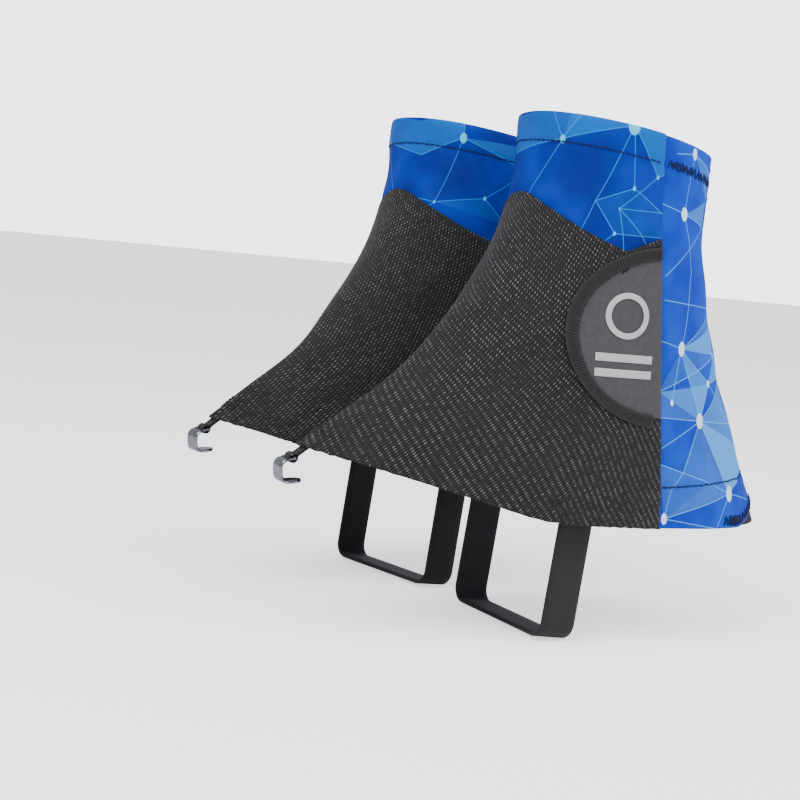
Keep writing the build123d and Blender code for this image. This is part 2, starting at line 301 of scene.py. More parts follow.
class Effects:
    """The node groups that more than one finish uses, each built once."""

    def __init__(self) -> None:
        """Builds every group."""
        self.dashes = self._dashes()
        self.link = self._link()
        self.dot = self._dot()
        self.facet = self._facet()
        self.fibre = self._fibre()
        self.edge_wear_and_highlight = self._edge_wear_and_highlight()
        self.twill = self._twill()

    @staticmethod
    def _dashes() -> bpy.types.NodeTree:
        """Short light floats of yarn in leaning columns, every second column half a step down."""
        g, i, out = new_group(
            "Staggered dashes",
            [("Place", "Vector", None), ("Column Pitch", "Float", 1.8), ("Row Pitch", "Float", 1.9),
             ("Lean", "Float", 0.2), ("Width", "Float", 0.3), ("Length", "Float", 0.6),
             ("Tilt", "Float", 0.4)],
            [("Mask", "Float"), ("Random", "Float"), ("Rib", "Float")])
        u, v, _ = g.split(i["Place"])
        leaning = g.math("ADD", u, g.math("MULTIPLY", v, i["Lean"]))
        column = g.math("DIVIDE", leaning, i["Column Pitch"])
        index = g.math("FLOOR", column)
        across = g.math("MULTIPLY", g.math("SUBTRACT", g.math("FRACT", column), 0.5), i["Column Pitch"])
        row = g.math("ADD", g.math("DIVIDE", v, i["Row Pitch"]), g.math("MULTIPLY", index, 0.5))
        along = g.math("MULTIPLY", g.math("SUBTRACT", g.math("FRACT", row), 0.5), i["Row Pitch"])
        tilted = g.math("ADD", across, g.math("MULTIPLY", along, i["Tilt"]))
        shape = g.combine(g.math("DIVIDE", tilted, i["Width"]), g.math("DIVIDE", along, i["Length"]))
        far = g.vector("LENGTH", shape)
        g.feed(out.inputs["Mask"], g.ramp(far, 1.2, 0.6))
        g.feed(out.inputs["Random"], g.grain(g.combine(index, g.math("FLOOR", row))))
        turns = g.math("MULTIPLY", column, 2 * math.pi)
        g.feed(out.inputs["Rib"], g.math("MULTIPLY_ADD", g.math("COSINE", turns), -0.5, 0.5))
        return g.tree

    @staticmethod
    def _link() -> bpy.types.NodeTree:
        """A thin printed line between two points, added to the mask of the lines before it."""
        g, i, out = new_group(
            "Printed line",
            [("Place", "Vector", None), ("Mask", "Float", 0.0), ("From", "Vector", None),
             ("To", "Vector", None),
             ("Width", "Float", 0.4)],
            [("Mask", "Float")])
        x, y, so_far = g.carried(i)
        span = g.vector("SUBTRACT", i["To"], i["From"])
        here = g.vector("SUBTRACT", g.combine(x, y), i["From"])
        reach = g.vector("DOT_PRODUCT", span, span)
        share = g.node("Clamp")
        g.feed(share.inputs[0], g.math("DIVIDE", g.vector("DOT_PRODUCT", here, span), reach))
        nearest = g.vector("SCALE", span, scale=share.outputs[0])
        far = g.vector("DISTANCE", here, nearest)
        mask = g.ramp(far, i["Width"], g.math("MULTIPLY", i["Width"], 0.35))
        g.feed(out.inputs["Mask"], g.math("MAXIMUM", so_far, mask))
        return g.tree

    @staticmethod
    def _dot() -> bpy.types.NodeTree:
        """A printed oval spot, added to the mask of the spots before it."""
        g, i, out = new_group(
            "Printed spot",
            [("Place", "Vector", None), ("Mask", "Float", 0.0), ("Middle", "Vector", None),
             ("Radius", "Float", 2.0)],
            [("Mask", "Float")])
        x, y, so_far = g.carried(i)
        here = g.vector("SUBTRACT", g.combine(x, y), i["Middle"])
        far = g.vector("LENGTH", g.vector("MULTIPLY", here, (1.45, 0.95, 1.0)))
        mask = g.ramp(far, i["Radius"], g.math("SUBTRACT", i["Radius"], 0.4))
        g.feed(out.inputs["Mask"], g.math("MAXIMUM", so_far, mask))
        return g.tree

    @staticmethod
    def _facet() -> bpy.types.NodeTree:
        """A printed see-through triangle, laid over the mask of the triangles before it."""
        g, i, out = new_group(
            "Printed triangle",
            [("Place", "Vector", None), ("Mask", "Float", 0.0), ("A", "Vector", None), ("B", "Vector", None),
             ("C", "Vector", None), ("Weight", "Float", 0.5)],
            [("Mask", "Float")])
        x, y, so_far = g.carried(i)
        mask = None
        for first, second in (("A", "B"), ("B", "C"), ("C", "A")):
            edge = g.vector("SUBTRACT", i[second], i[first])
            here = g.vector("SUBTRACT", g.combine(x, y), i[first])
            turn = g.split(g.vector("CROSS_PRODUCT", edge, here))[2]
            inside = g.ramp(g.math("DIVIDE", turn, g.vector("LENGTH", edge)), -0.1, 0.1)
            mask = inside if mask is None else g.math("MULTIPLY", mask, inside)
        left = g.math("SUBTRACT", 1.0, g.math("MULTIPLY", mask, i["Weight"]))
        rest = g.math("MULTIPLY", g.math("SUBTRACT", 1.0, so_far), left)
        g.feed(out.inputs["Mask"], g.math("SUBTRACT", 1.0, rest))
        return g.tree

    @staticmethod
    def _fibre() -> bpy.types.NodeTree:
        """Slow and fast changes of tone across a cloth, and its fine fuzz."""
        g, i, out = new_group(
            "Cloth tone",
            [("Base", "Color", (0.5, 0.5, 0.5, 1.0)), ("Depth", "Float", 0.2), ("Fuzz", "Float", 0.2)],
            [("Color", "Color"), ("Height", "Float")])
        place = g.node("TexCoord").outputs["Object"]
        slow, fast = g.noise(place, 45.0, 4.0), g.noise(place, 2600.0, 2.0, 0.7)
        tone = g.math("MULTIPLY_ADD", g.math("SUBTRACT", slow, 0.5), i["Depth"], 1.0)
        tone = g.math("ADD", tone, g.math("MULTIPLY", g.math("SUBTRACT", fast, 0.5), i["Fuzz"]))
        g.feed(out.inputs["Color"], g.vector("SCALE", i["Base"], scale=tone))
        g.feed(out.inputs["Height"], fast)
        return g.tree

    @staticmethod
    def _edge_wear_and_highlight() -> bpy.types.NodeTree:
        """Where edges stand out: a mask for a little lightening, partly rubbed wear and partly a painted
        highlight on convex edges.
        """
        g, i, out = new_group("Rubbed and highlighted edges", [("Strength", "Float", 0.4)], [("Mask", "Float")])
        # Convex edges picked out for lightening: rubbed wear together with a painted highlight where edges catch
        # light.
        edge = g.ramp(g.node("NewGeometry").outputs["Pointiness"], 0.52, 0.62)
        spots = g.ramp(g.noise(g.node("TexCoord").outputs["Object"], 320.0, 4.0), 0.4, 0.65)
        g.feed(out.inputs["Mask"], g.math("MULTIPLY", g.math("MULTIPLY", edge, spots), i["Strength"]))
        return g.tree

    @staticmethod
    def _twill() -> bpy.types.NodeTree:
        """Fine diagonal ribs, as on webbing and knitted cloth."""
        g, i, out = new_group(
            "Fine twill", [("Place", "Vector", None), ("Pitch", "Float", 0.5), ("Slant", "Float", 1.0)],
            [("Height", "Float")])
        u, v, _ = g.split(i["Place"])
        phase = g.math("DIVIDE", g.math("ADD", u, g.math("MULTIPLY", v, i["Slant"])), i["Pitch"])
        rib = g.math("COSINE", g.math("MULTIPLY", phase, 2 * math.pi))
        cross = g.math("COSINE", g.math("MULTIPLY", g.math("DIVIDE", v, i["Pitch"]), 2 * math.pi))
        g.feed(out.inputs["Height"], g.math("ADD", rib, g.math("MULTIPLY", cross, 0.6)))
        return g.tree


@dataclass(frozen=True)
class Finish:
    """A cloth, thread or metal surface, with what every finish sets on its shader."""

    name: str
    base: Colour = (0.03, 0.03, 0.03)
    roughness: float = 0.8
    sheen: float = 0.0
    metallic: float = 0.0
    gloss: float = 0.22
    bump: float = 0.3
    bump_depth: float = 0.0002

    def paint(self, g: Graph, fx: Effects, place: Socket) -> tuple[object, Optional[Socket]]:
        """The surface's colour and height.

        Args:
            g: The material's graph.
            fx: The shared effects.
            place: The cloth's own coordinates, in millimetres.

        Returns:
            The colour and the height's socket.
        """
        tone = g.group(fx.fibre, Base=self.base, Depth=0.25, Fuzz=0.3)
        return tone.outputs["Color"], tone.outputs["Height"]

    def build(self, fx: Effects) -> bpy.types.Material:
        """Makes the material.

        Args:
            fx: The shared effects.

        Returns:
            The material.
        """
        material = bpy.data.materials.new(self.name)
        material.use_nodes = True
        g = Graph(material.node_tree)
        shader = material.node_tree.nodes["Principled BSDF"]
        place = g.node("UVMap", uv_map=CLOTH_MAP).outputs["UV"]
        colour, height = self.paint(g, fx, place)
        g.feed(shader.inputs["Base Color"], colour)
        shader.inputs["Roughness"].default_value = self.roughness
        shader.inputs["Metallic"].default_value = self.metallic
        shader.inputs["Specular IOR Level"].default_value = self.gloss
        if self.sheen:
            shader.inputs["Sheen Weight"].default_value = self.sheen
            shader.inputs["Sheen Roughness"].default_value = 0.45
        if height is not None:
            bump = g.node("Bump")
            bump.inputs["Strength"].default_value = self.bump
            bump.inputs["Distance"].default_value = self.bump_depth
            g.feed(bump.inputs["Height"], height)
            g.feed(shader.inputs["Normal"], bump.outputs["Normal"])
        return material


@dataclass(frozen=True)
class MeshFinish(Finish):
    """Hard-wearing woven mesh: a dark ribbed ground with short light floats, its rib tops painted lighter as
    highlight.
    """

    fleck: Colour = (0.17, 0.16, 0.165)
    # Painted highlight: the lighter colour laid on the rib tops, so the grooves between columns read as shaded.
    rib_top_highlight: Colour = (0.019, 0.0175, 0.019)
    column_pitch: float = 1.42
    row_pitch: float = 1.6
    lean: float = -0.17

    def paint(self, g: Graph, fx: Effects, place: Socket) -> tuple[object, Optional[Socket]]:
        """See Finish.paint."""
        dash = g.group(fx.dashes, Place=place, Column_Pitch=self.column_pitch, Row_Pitch=self.row_pitch,
                       Lean=self.lean, Width=0.24, Length=0.5, Tilt=0.4)
        ground = g.group(fx.fibre, Base=self.base, Depth=0.9, Fuzz=1.2)
        fine = g.group(fx.twill, Place=place, Pitch=self.column_pitch / 3, Slant=0.4).outputs["Height"]
        patchy = g.noise(g.vector("SCALE", place, scale=MM), 60.0, 3.0)
        spread = g.ramp(dash.outputs["Random"], 0.0, 1.0, 0.12, 1.0)
        bright = g.math("MULTIPLY", spread, g.ramp(patchy, 0.35, 0.7, 0.6, 1.2))
        mask = g.math("MULTIPLY", dash.outputs["Mask"], bright)
        # Painted shade and highlight: rib tops lightened towards the rib-top colour, the grooves between the
        # columns left dark.
        raised = g.ramp(dash.outputs["Rib"], 0.2, 1.0, 0.0, 0.5)
        lit = g.mix(raised, ground.outputs["Color"], self.rib_top_highlight)
        colour = g.mix(mask, lit, self.fleck)
        height = g.math("ADD", g.math("MULTIPLY", dash.outputs["Rib"], 0.6), dash.outputs["Mask"])
        return colour, g.math("ADD", height, g.math("MULTIPLY", fine, 0.12))


@dataclass(frozen=True)
class PrintFinish(Finish):
    """Stretch knit printed with a net of points, lines and see-through triangles."""

    hubs: tuple[tuple[float, float, float], ...] = ()
    links: tuple[tuple[int, int], ...] = ()
    facets: tuple[tuple[int, int, int, float], ...] = ()
    deep: Colour = (0.0, 0.012, 0.19)
    bright: Colour = (0.0, 0.028, 0.34)
    line: Colour = (0.0, 0.25, 0.72)
    pale: Colour = (0.0, 0.20, 0.66)
    spot: Colour = (0.05, 0.48, 0.86)
    line_width: float = 0.24
    line_cover: float = 0.75

    def _spot(self, hub: int) -> tuple[float, float, float]:
        """Where a point of the net lies on the cloth."""
        return (*self.hubs[hub][:2], 0.0)

    def paint(self, g: Graph, fx: Effects, place: Socket) -> tuple[object, Optional[Socket]]:
        """See Finish.paint."""
        drift = g.noise(g.vector("SCALE", place, scale=MM), 38.0, 2.0)
        colour = g.mix(g.ramp(drift, 0.35, 0.65), self.deep, self.bright)
        flat = g.vector("MULTIPLY", place, (1.0, 1.0, 0.0))
        mask: Value = 0.0
        for first, second, third, weight in self.facets:
            corners = [self._spot(k) for k in (first, second, third)]
            turn = np.cross(np.subtract(corners[1], corners[0]), np.subtract(corners[2], corners[0]))
            if turn[2] < 0:
                corners.reverse()
            a, b, c = corners
            mask = g.group(fx.facet, Place=flat, Mask=mask, A=a, B=b, C=c, Weight=weight).outputs["Mask"]
        colour = g.mix(mask, colour, self.pale)
        mask = 0.0
        for first, second in self.links:
            ends = {"From": self._spot(first), "To": self._spot(second)}
            mask = g.group(fx.link, Place=flat, Mask=mask, Width=self.line_width, **ends).outputs["Mask"]
        colour = g.mix(g.math("MULTIPLY", mask, self.line_cover), colour, self.line)
        mask = 0.0
        for k, (*_, radius) in enumerate(self.hubs):
            if radius:
                mask = g.group(fx.dot, Place=flat, Mask=mask, Middle=self._spot(k),
                               Radius=radius).outputs["Mask"]
        colour = g.mix(mask, colour, self.spot)
        tone = g.group(fx.fibre, Base=colour, Depth=0.22, Fuzz=0.16)
        knit = g.group(fx.twill, Place=place, Pitch=0.55, Slant=0.0).outputs["Height"]
        return tone.outputs["Color"], knit


@dataclass(frozen=True)
class RibbedFinish(Finish):
    """Elastic and webbing: ribs across and a fine weave."""

    pitch: float = 1.1
    slant: float = 0.0
    light: Colour = (0.10, 0.10, 0.10)

    def paint(self, g: Graph, fx: Effects, place: Socket) -> tuple[object, Optional[Socket]]:
        """See Finish.paint."""
        rib = g.group(fx.twill, Place=place, Pitch=self.pitch, Slant=self.slant).outputs["Height"]
        tone = g.group(fx.fibre, Base=self.base, Depth=0.4, Fuzz=0.5)
        # Convex edges lightened: rubbed wear and a painted highlight on the elastic's and webbing's edges.
        worn = g.group(fx.edge_wear_and_highlight, Strength=0.5).outputs["Mask"]
        colour = g.mix(g.ramp(rib, 0.2, 1.6, 0.0, 0.55), tone.outputs["Color"], self.light)
        return g.mix(worn, colour, self.light), rib


@dataclass(frozen=True)
class PileFinish(Finish):
    """The two faces of the closure: rows of hooks, or a pile of loops."""

    pitch: float = 1.3
    light: Colour = (0.12, 0.12, 0.12)

    def paint(self, g: Graph, fx: Effects, place: Socket) -> tuple[object, Optional[Socket]]:
        """See Finish.paint."""
        spots = g.group(fx.dashes, Place=place, Column_Pitch=self.pitch, Row_Pitch=self.pitch, Lean=0.0,
                        Width=0.3, Length=0.42, Tilt=0.0)
        tone = g.group(fx.fibre, Base=self.base, Depth=0.5, Fuzz=1.2)
        rough = g.noise(g.vector("SCALE", place, scale=MM), 1500.0, 5.0, 0.7)
        height = g.math("ADD", spots.outputs["Mask"], rough)
        cover = g.math("MULTIPLY", spots.outputs["Mask"], 0.6)
        return g.mix(cover, tone.outputs["Color"], self.light), height


@dataclass(frozen=True)
class SmoothClothFinish(Finish):
    """Soft coated cloth with a fine mottle, as on the side patch."""

    light: Colour = (0.12, 0.12, 0.13)

    def paint(self, g: Graph, fx: Effects, place: Socket) -> tuple[object, Optional[Socket]]:
        """See Finish.paint."""
        tone = g.group(fx.fibre, Base=self.base, Depth=0.5, Fuzz=0.45)
        mottle = g.noise(g.vector("SCALE", place, scale=MM), 420.0, 6.0, 0.65)
        # Convex edges lightened: rubbed wear and a painted highlight where the patch's edge curves and catches
        # light.
        worn = g.group(fx.edge_wear_and_highlight, Strength=0.4).outputs["Mask"]
        colour = g.mix(g.ramp(mottle, 0.35, 0.75, 0.0, 0.45), tone.outputs["Color"], self.light)
        return g.mix(worn, colour, self.light), mottle


@dataclass(frozen=True)
class PrintedFilmFinish(Finish):
    """Pale transfer print, slightly worn through to the cloth."""

    def paint(self, g: Graph, fx: Effects, place: Socket) -> tuple[object, Optional[Socket]]:
        """See Finish.paint."""
        grit = g.noise(g.vector("SCALE", place, scale=MM), 2200.0, 4.0, 0.7)
        worn = g.ramp(g.noise(g.vector("SCALE", place, scale=MM), 700.0, 5.0), 0.62, 0.72, 0.0, 0.5)
        colour = g.mix(g.ramp(grit, 0.3, 0.7, 0.0, 0.4), self.base, (0.34, 0.34, 0.35))
        return g.mix(worn, colour, (0.16, 0.16, 0.17)), grit


@dataclass(frozen=True)
class ThreadFinish(Finish):
    """Twisted sewing thread."""

    def paint(self, g: Graph, fx: Effects, place: Socket) -> tuple[object, Optional[Socket]]:
        """See Finish.paint."""
        tone = g.group(fx.fibre, Base=self.base, Depth=0.6, Fuzz=0.9)
        ply = g.group(fx.twill, Place=place, Pitch=0.35, Slant=0.6).outputs["Height"]
        return tone.outputs["Color"], g.math("ADD", ply, tone.outputs["Height"])


@dataclass(frozen=True)
class NickelFinish(Finish):
    """Dark polished nickel with fine scratches, and its rounded edges lightened as rubbed wear and a painted
    highlight.
    """

    def paint(self, g: Graph, fx: Effects, place: Socket) -> tuple[object, Optional[Socket]]:
        """See Finish.paint."""
        where = g.node("TexCoord").outputs["Object"]
        stretch = g.vector("MULTIPLY", where, (1.0, 0.08, 0.08))
        scratch = g.noise(stretch, 5200.0, 5.0, 0.75)
        smear = g.noise(where, 260.0, 4.0)
        # Convex edges lightened towards near white: rubbed wear and a painted highlight along the hook's rounded
        # edges.
        worn = g.group(fx.edge_wear_and_highlight, Strength=0.8).outputs["Mask"]
        colour = g.mix(g.ramp(smear, 0.3, 0.7, 0.0, 0.5), self.base, (0.30, 0.31, 0.34))
        return g.mix(worn, colour, (0.75, 0.76, 0.78)), scratch


# --------------------------------------------------------------------------- the printed nets

CUFF_PRINT = PrintFinish(
    "Cuff knit", roughness=0.6, gloss=0.12, bump=0.12, bump_depth=0.00012,
    hubs=((18, 50, 1.8), (46, 60, 3.6), (50, 36.5, 1.1), (59, 43, 1.0), (36, 28.5, 0.0), (46, 27.5, 0.6),
          (47, 17.5, 1.0), (53.5, 11, 1.1), (4, 26, 0.0), (-11, 44, 0.0), (-9, 59, 0.0), (12, 62, 0.0),
          (21, 62, 0.0), (26, 62, 0.0), (72, 27, 0.0), (72, 21, 0.0), (40, 8, 0.0), (72, 31, 0.0),
          (70, 12, 0.0), (33, 10, 0.0), (68, 49, 0.0), (70, 62, 0.0), (4, 12, 0.0), (-30, 54, 2.4),
          (-44, 30, 1.1), (-22, 24, 0.9), (-62, 46, 1.4), (-80, 58, 2.6), (-58, 20, 0.0), (-84, 26, 1.1),
          (-30, 64, 0.0), (-100, 44, 0.0), (-8, 8, 0.0), (72, 62, 0.0)),
    links=((2, 4), (2, 14), (4, 6), (6, 15), (6, 16), (5, 17), (5, 3), (5, 7), (5, 18), (1, 2), (1, 4),
           (4, 19), (1, 3), (3, 20), (0, 8), (8, 22), (0, 9), (11, 0), (13, 0), (0, 1), (23, 9), (23, 25),
           (23, 26), (24, 25), (24, 26), (24, 28), (26, 27), (26, 29), (27, 31), (29, 31), (28, 29),
           (25, 32), (8, 25), (23, 30)),
    facets=((10, 9, 0, 0.34), (10, 0, 13, 0.30), (13, 0, 1, 0.42), (12, 0, 13, 0.25), (1, 3, 33, 0.44),
            (3, 20, 33, 0.44), (2, 4, 6, 0.12), (2, 6, 15, 0.12), (2, 15, 14, 0.12), (10, 30, 23, 0.42),
            (10, 23, 9, 0.36), (23, 26, 27, 0.38), (24, 25, 28, 0.14), (27, 29, 31, 0.3),
            (26, 27, 29, 0.2)))

BACK_PRINT = PrintFinish(
    "Back knit", roughness=0.6, gloss=0.12, bump=0.14, bump_depth=0.00012,
    deep=(0.0, 0.028, 0.40), bright=(0.0, 0.06, 0.52), pale=(0.10, 0.42, 0.88), line=(0.12, 0.48, 0.92),
    line_width=0.24, spot=(0.66, 0.82, 0.95),
    hubs=((19, 149, 2.4), (14, 125, 2.8), (13.6, 71.6, 3.0), (39.5, 69.5, 1.0), (30.6, 58, 1.6),
          (24, 43, 3.2), (44, 13, 3.4), (4, 3.5, 2.4), (8, 50, 1.4), (19, 112, 0.0), (22, 103, 0.0),
          (16, 119, 0.0), (4, 100, 0.0), (31, 121, 0.0), (4, 90.5, 0.0), (42, 88, 0.0), (44, 82, 0.0),
          (1, 54, 0.0), (49, 61, 0.0), (56, 41, 0.0), (61, 31, 0.0), (67, 20, 0.0), (1, 44, 0.0),
          (1, 31, 0.0), (14, 22, 0.0), (7, 14, 0.0), (1, 25.5, 0.0), (29, 18, 0.0), (64, 24.5, 0.0),
          (74, 7.5, 0.0), (34, -1, 0.0), (58, 78, 2.2), (66, 56, 2.8), (86, 40, 2.2), (90, 66, 2.6),
          (76, 98, 2.4), (104, 88, 1.4), (98, 18, 2.4), (60, 116, 1.4), (84, 132, 2.6), (112, 118, 2.2),
          (46, 140, 1.2), (118, 52, 0.0), (-14, 132, 0.0), (-14, 78, 0.0), (-12, 44, 0.0), (34, 132, 0.0),
          (8, 148, 0.0)),
    links=((0, 1), (0, 41), (0, 47), (1, 43), (1, 11), (1, 13), (11, 9), (9, 10), (10, 2), (12, 13),
           (14, 15), (2, 15), (2, 16), (2, 44), (2, 8), (2, 5), (2, 4), (17, 3), (3, 18), (3, 4), (4, 5),
           (4, 18), (4, 19), (5, 22), (5, 23), (5, 24), (24, 25), (25, 7), (5, 6), (5, 18), (5, 19),
           (26, 27), (27, 6), (7, 6), (7, 30), (6, 28), (6, 29), (6, 30), (3, 31), (31, 16), (31, 32),
           (32, 19), (32, 33), (31, 34), (32, 34), (33, 37), (33, 28), (34, 35), (35, 38), (35, 36),
           (38, 39), (38, 13), (39, 40), (36, 40), (34, 42), (33, 42), (38, 41), (38, 15)),
    facets=((2, 16, 3, 0.62), (2, 15, 16, 0.14), (2, 3, 17, 0.12), (17, 4, 5, 0.42), (2, 5, 4, 0.36),
            (3, 4, 18, 0.5), (5, 18, 19, 0.38), (5, 19, 20, 0.34), (5, 20, 6, 0.72), (6, 20, 28, 0.7),
            (5, 24, 27, 0.16), (5, 27, 6, 0.2), (17, 5, 22, 0.16), (26, 7, 6, 0.14), (7, 27, 6, 0.1),
            (0, 41, 46, 0.24), (1, 46, 13, 0.34), (31, 32, 34, 0.45), (32, 33, 19, 0.5), (34, 35, 36, 0.4),
            (38, 39, 35, 0.3), (33, 37, 42, 0.4)))


class Finishes:
    """Every finish of the pair, built once.

    Args:
        fx: The shared effects.
    """

    def __init__(self, fx: Effects) -> None:
        """Builds every material."""
        self.mesh = MeshFinish("Woven mesh", base=(0.0055, 0.005, 0.0056), roughness=0.72, sheen=0.06,
                               bump=0.6, bump_depth=0.0004).build(fx)
        self.cuff = CUFF_PRINT.build(fx)
        self.back = BACK_PRINT.build(fx)
        self.patch = SmoothClothFinish("Patch cloth", base=(0.034, 0.032, 0.036), light=(0.06, 0.058, 0.064),
                                       roughness=0.5, sheen=0.08, gloss=0.4, bump=0.12).build(fx)
        self.print = PrintedFilmFinish("Silver print", base=(0.44, 0.43, 0.43), roughness=0.5,
                                       bump=0.08).build(fx)
        self.black_thread = ThreadFinish("Black thread", base=(0.02, 0.0195, 0.02), roughness=0.6,
                                         sheen=0.05).build(fx)
        self.navy_thread = ThreadFinish("Navy thread", base=(0.002, 0.006, 0.05), roughness=0.6,
                                        sheen=0.03).build(fx)
        self.elastic = RibbedFinish("Ribbed elastic", base=(0.022, 0.017, 0.016), light=(0.07, 0.055, 0.05),
                                    bump=0.6, bump_depth=0.0004).build(fx)
        self.webbing = RibbedFinish("Smooth webbing", base=(0.012, 0.011, 0.012), light=(0.03, 0.029, 0.03),
                                    pitch=0.5, slant=0.8, roughness=0.62, sheen=0.1, bump=0.15).build(fx)
        self.loop = PileFinish("Loop pile", base=(0.02, 0.02, 0.022), roughness=0.95, sheen=0.6, bump=0.8,
                               bump_depth=0.0005).build(fx)
        self.hooks = PileFinish("Moulded hooks", base=(0.015, 0.015, 0.017), roughness=0.45, bump=1.0,
                                bump_depth=0.0006).build(fx)
        self.nickel = NickelFinish("Dark nickel", gloss=0.5, base=(0.16, 0.165, 0.18), roughness=0.16,
                                   metallic=1.0, bump=0.03).build(fx)


# --------------------------------------------------------------------------- the form of the body

@dataclass(frozen=True)
class Level:
    """One slanted cut through the body, in millimetres."""

    front: float
    front_z: float
    back: float
    back_z: float
    half_width: float
    nose: float


LEVELS = (
    Level(140.0, 66.5, 93.0, 10.0, 45.0, 0.55),
    Level(118.5, 82.5, 91.0, 39.0, 44.0, 0.50),
    Level(91.0, 103.8, 76.5, 69.0, 42.5, 0.40),
    Level(71.0, 128.0, 62.5, 97.0, 41.0, 0.25),
    Level(55.0, 152.0, 50.0, 129.0, 39.5, 0.10),
    Level(45.0, 180.0, 42.0, 160.0, 38.5, 0.0),
    Level(44.0, 214.0, 41.0, 201.5, 39.0, 0.0),
)


HEM_POINTS = ((-165.0, 79.0), (-95.0, 63.0), (-42.0, 49.5), (10.0, 48.0), (60.0, 47.0), (110.0, 46.5))
ARCH_POINTS = ((-200.0, 0.0), (50.0, 45.5), (60.0, 47.5), (70.0, 52.0), (78.0, 58.5), (84.0, 65.0),
               (110.0, 96.0))
SEAM_POINTS = ((-60.0, 196.0), (-50.0, 184.0), (-46.2, 176.5), (-43.8, 171.3), (-39.6, 167.2), (-33.2, 162.4),
               (-25.4, 158.6), (-17.0, 155.4), (-8.0, 159.4), (0.0, 162.6), (40.0, 169.0))
FLAP_EDGE = ((-6.0, 201.0), (7.7, 48.8))
FLAP_HINGE = ((-28.0, 200.0), (-56.0, 50.0))
INNER_SEAM = ((18.0, 200.0), (30.0, 48.0))
OUTER, INNER = 1, -1
SHELL = 1.0
GAP = 0.05
LAP = 2.6
UNDER_SHELL = SHELL + GAP
UNDER_BACK = LAP + SHELL + GAP
BAND_GRID = 2.2
FOLD_CLEAR = 5.5
TAPE_ABOVE_HEM = 10.0
TAPE_BELOW_RIM = 15.0
TAB_SLOPE = math.radians(37.0)
RIM_AT_SHIN = (-44.0, 208.0)
RIM_SLOPE = 12.5 / 85.0


def curve(points: Sequence[tuple[float, float]], soften: float = 3.0, lift: float = 0.0) -> Line:
    """A height that follows points along the foot, with its corners softened.

    Args:
        points: Places along the foot with their heights.
        soften: How far a corner's rounding reaches.
        lift: Height added all along.

    Returns:
        The line.
    """
    ys, zs = (np.array(column, float) for column in zip(*points))

    def height(y: np.ndarray) -> np.ndarray:
        """The height at each place along the foot."""
        sides = np.interp(y - soften, ys, zs) + np.interp(y + soften, ys, zs)
        return 0.5 * np.interp(y, ys, zs) + 0.25 * sides + lift

    return height


def straight(ends: Sequence[tuple[float, float]], shift: float = 0.0) -> Line:
    """A steep side-view line: its place along the foot at each height.

    Args:
        ends: Its two ends, each a place along the foot and a height.
        shift: How far it is moved towards the heel.

    Returns:
        The line.
    """
    (y1, z1), (y2, z2) = ends

    def place(z: np.ndarray) -> np.ndarray:
        """The place along the foot at each height."""
        return y1 + shift + (y2 - y1) * (z - z1) / (z2 - z1)

    return place


def rim(below: float = 0.0) -> Line:
    """The rim's height along the foot, or a line below it."""
    start, height = RIM_AT_SHIN
    return lambda y: height - (y - start) * RIM_SLOPE - below


def hem(lift: float = 0.0) -> Line:
    """The lower edge of the front, or a line above it."""
    return curve(HEM_POINTS, 8.0, lift)


def arch(lift: float = 0.0) -> Line:
    """The lower edge of the back panel, which rises over the heel."""
    low, high = curve(HEM_POINTS, 8.0), curve(ARCH_POINTS, 4.0)
    return lambda y: np.maximum(low(y), high(y)) + lift


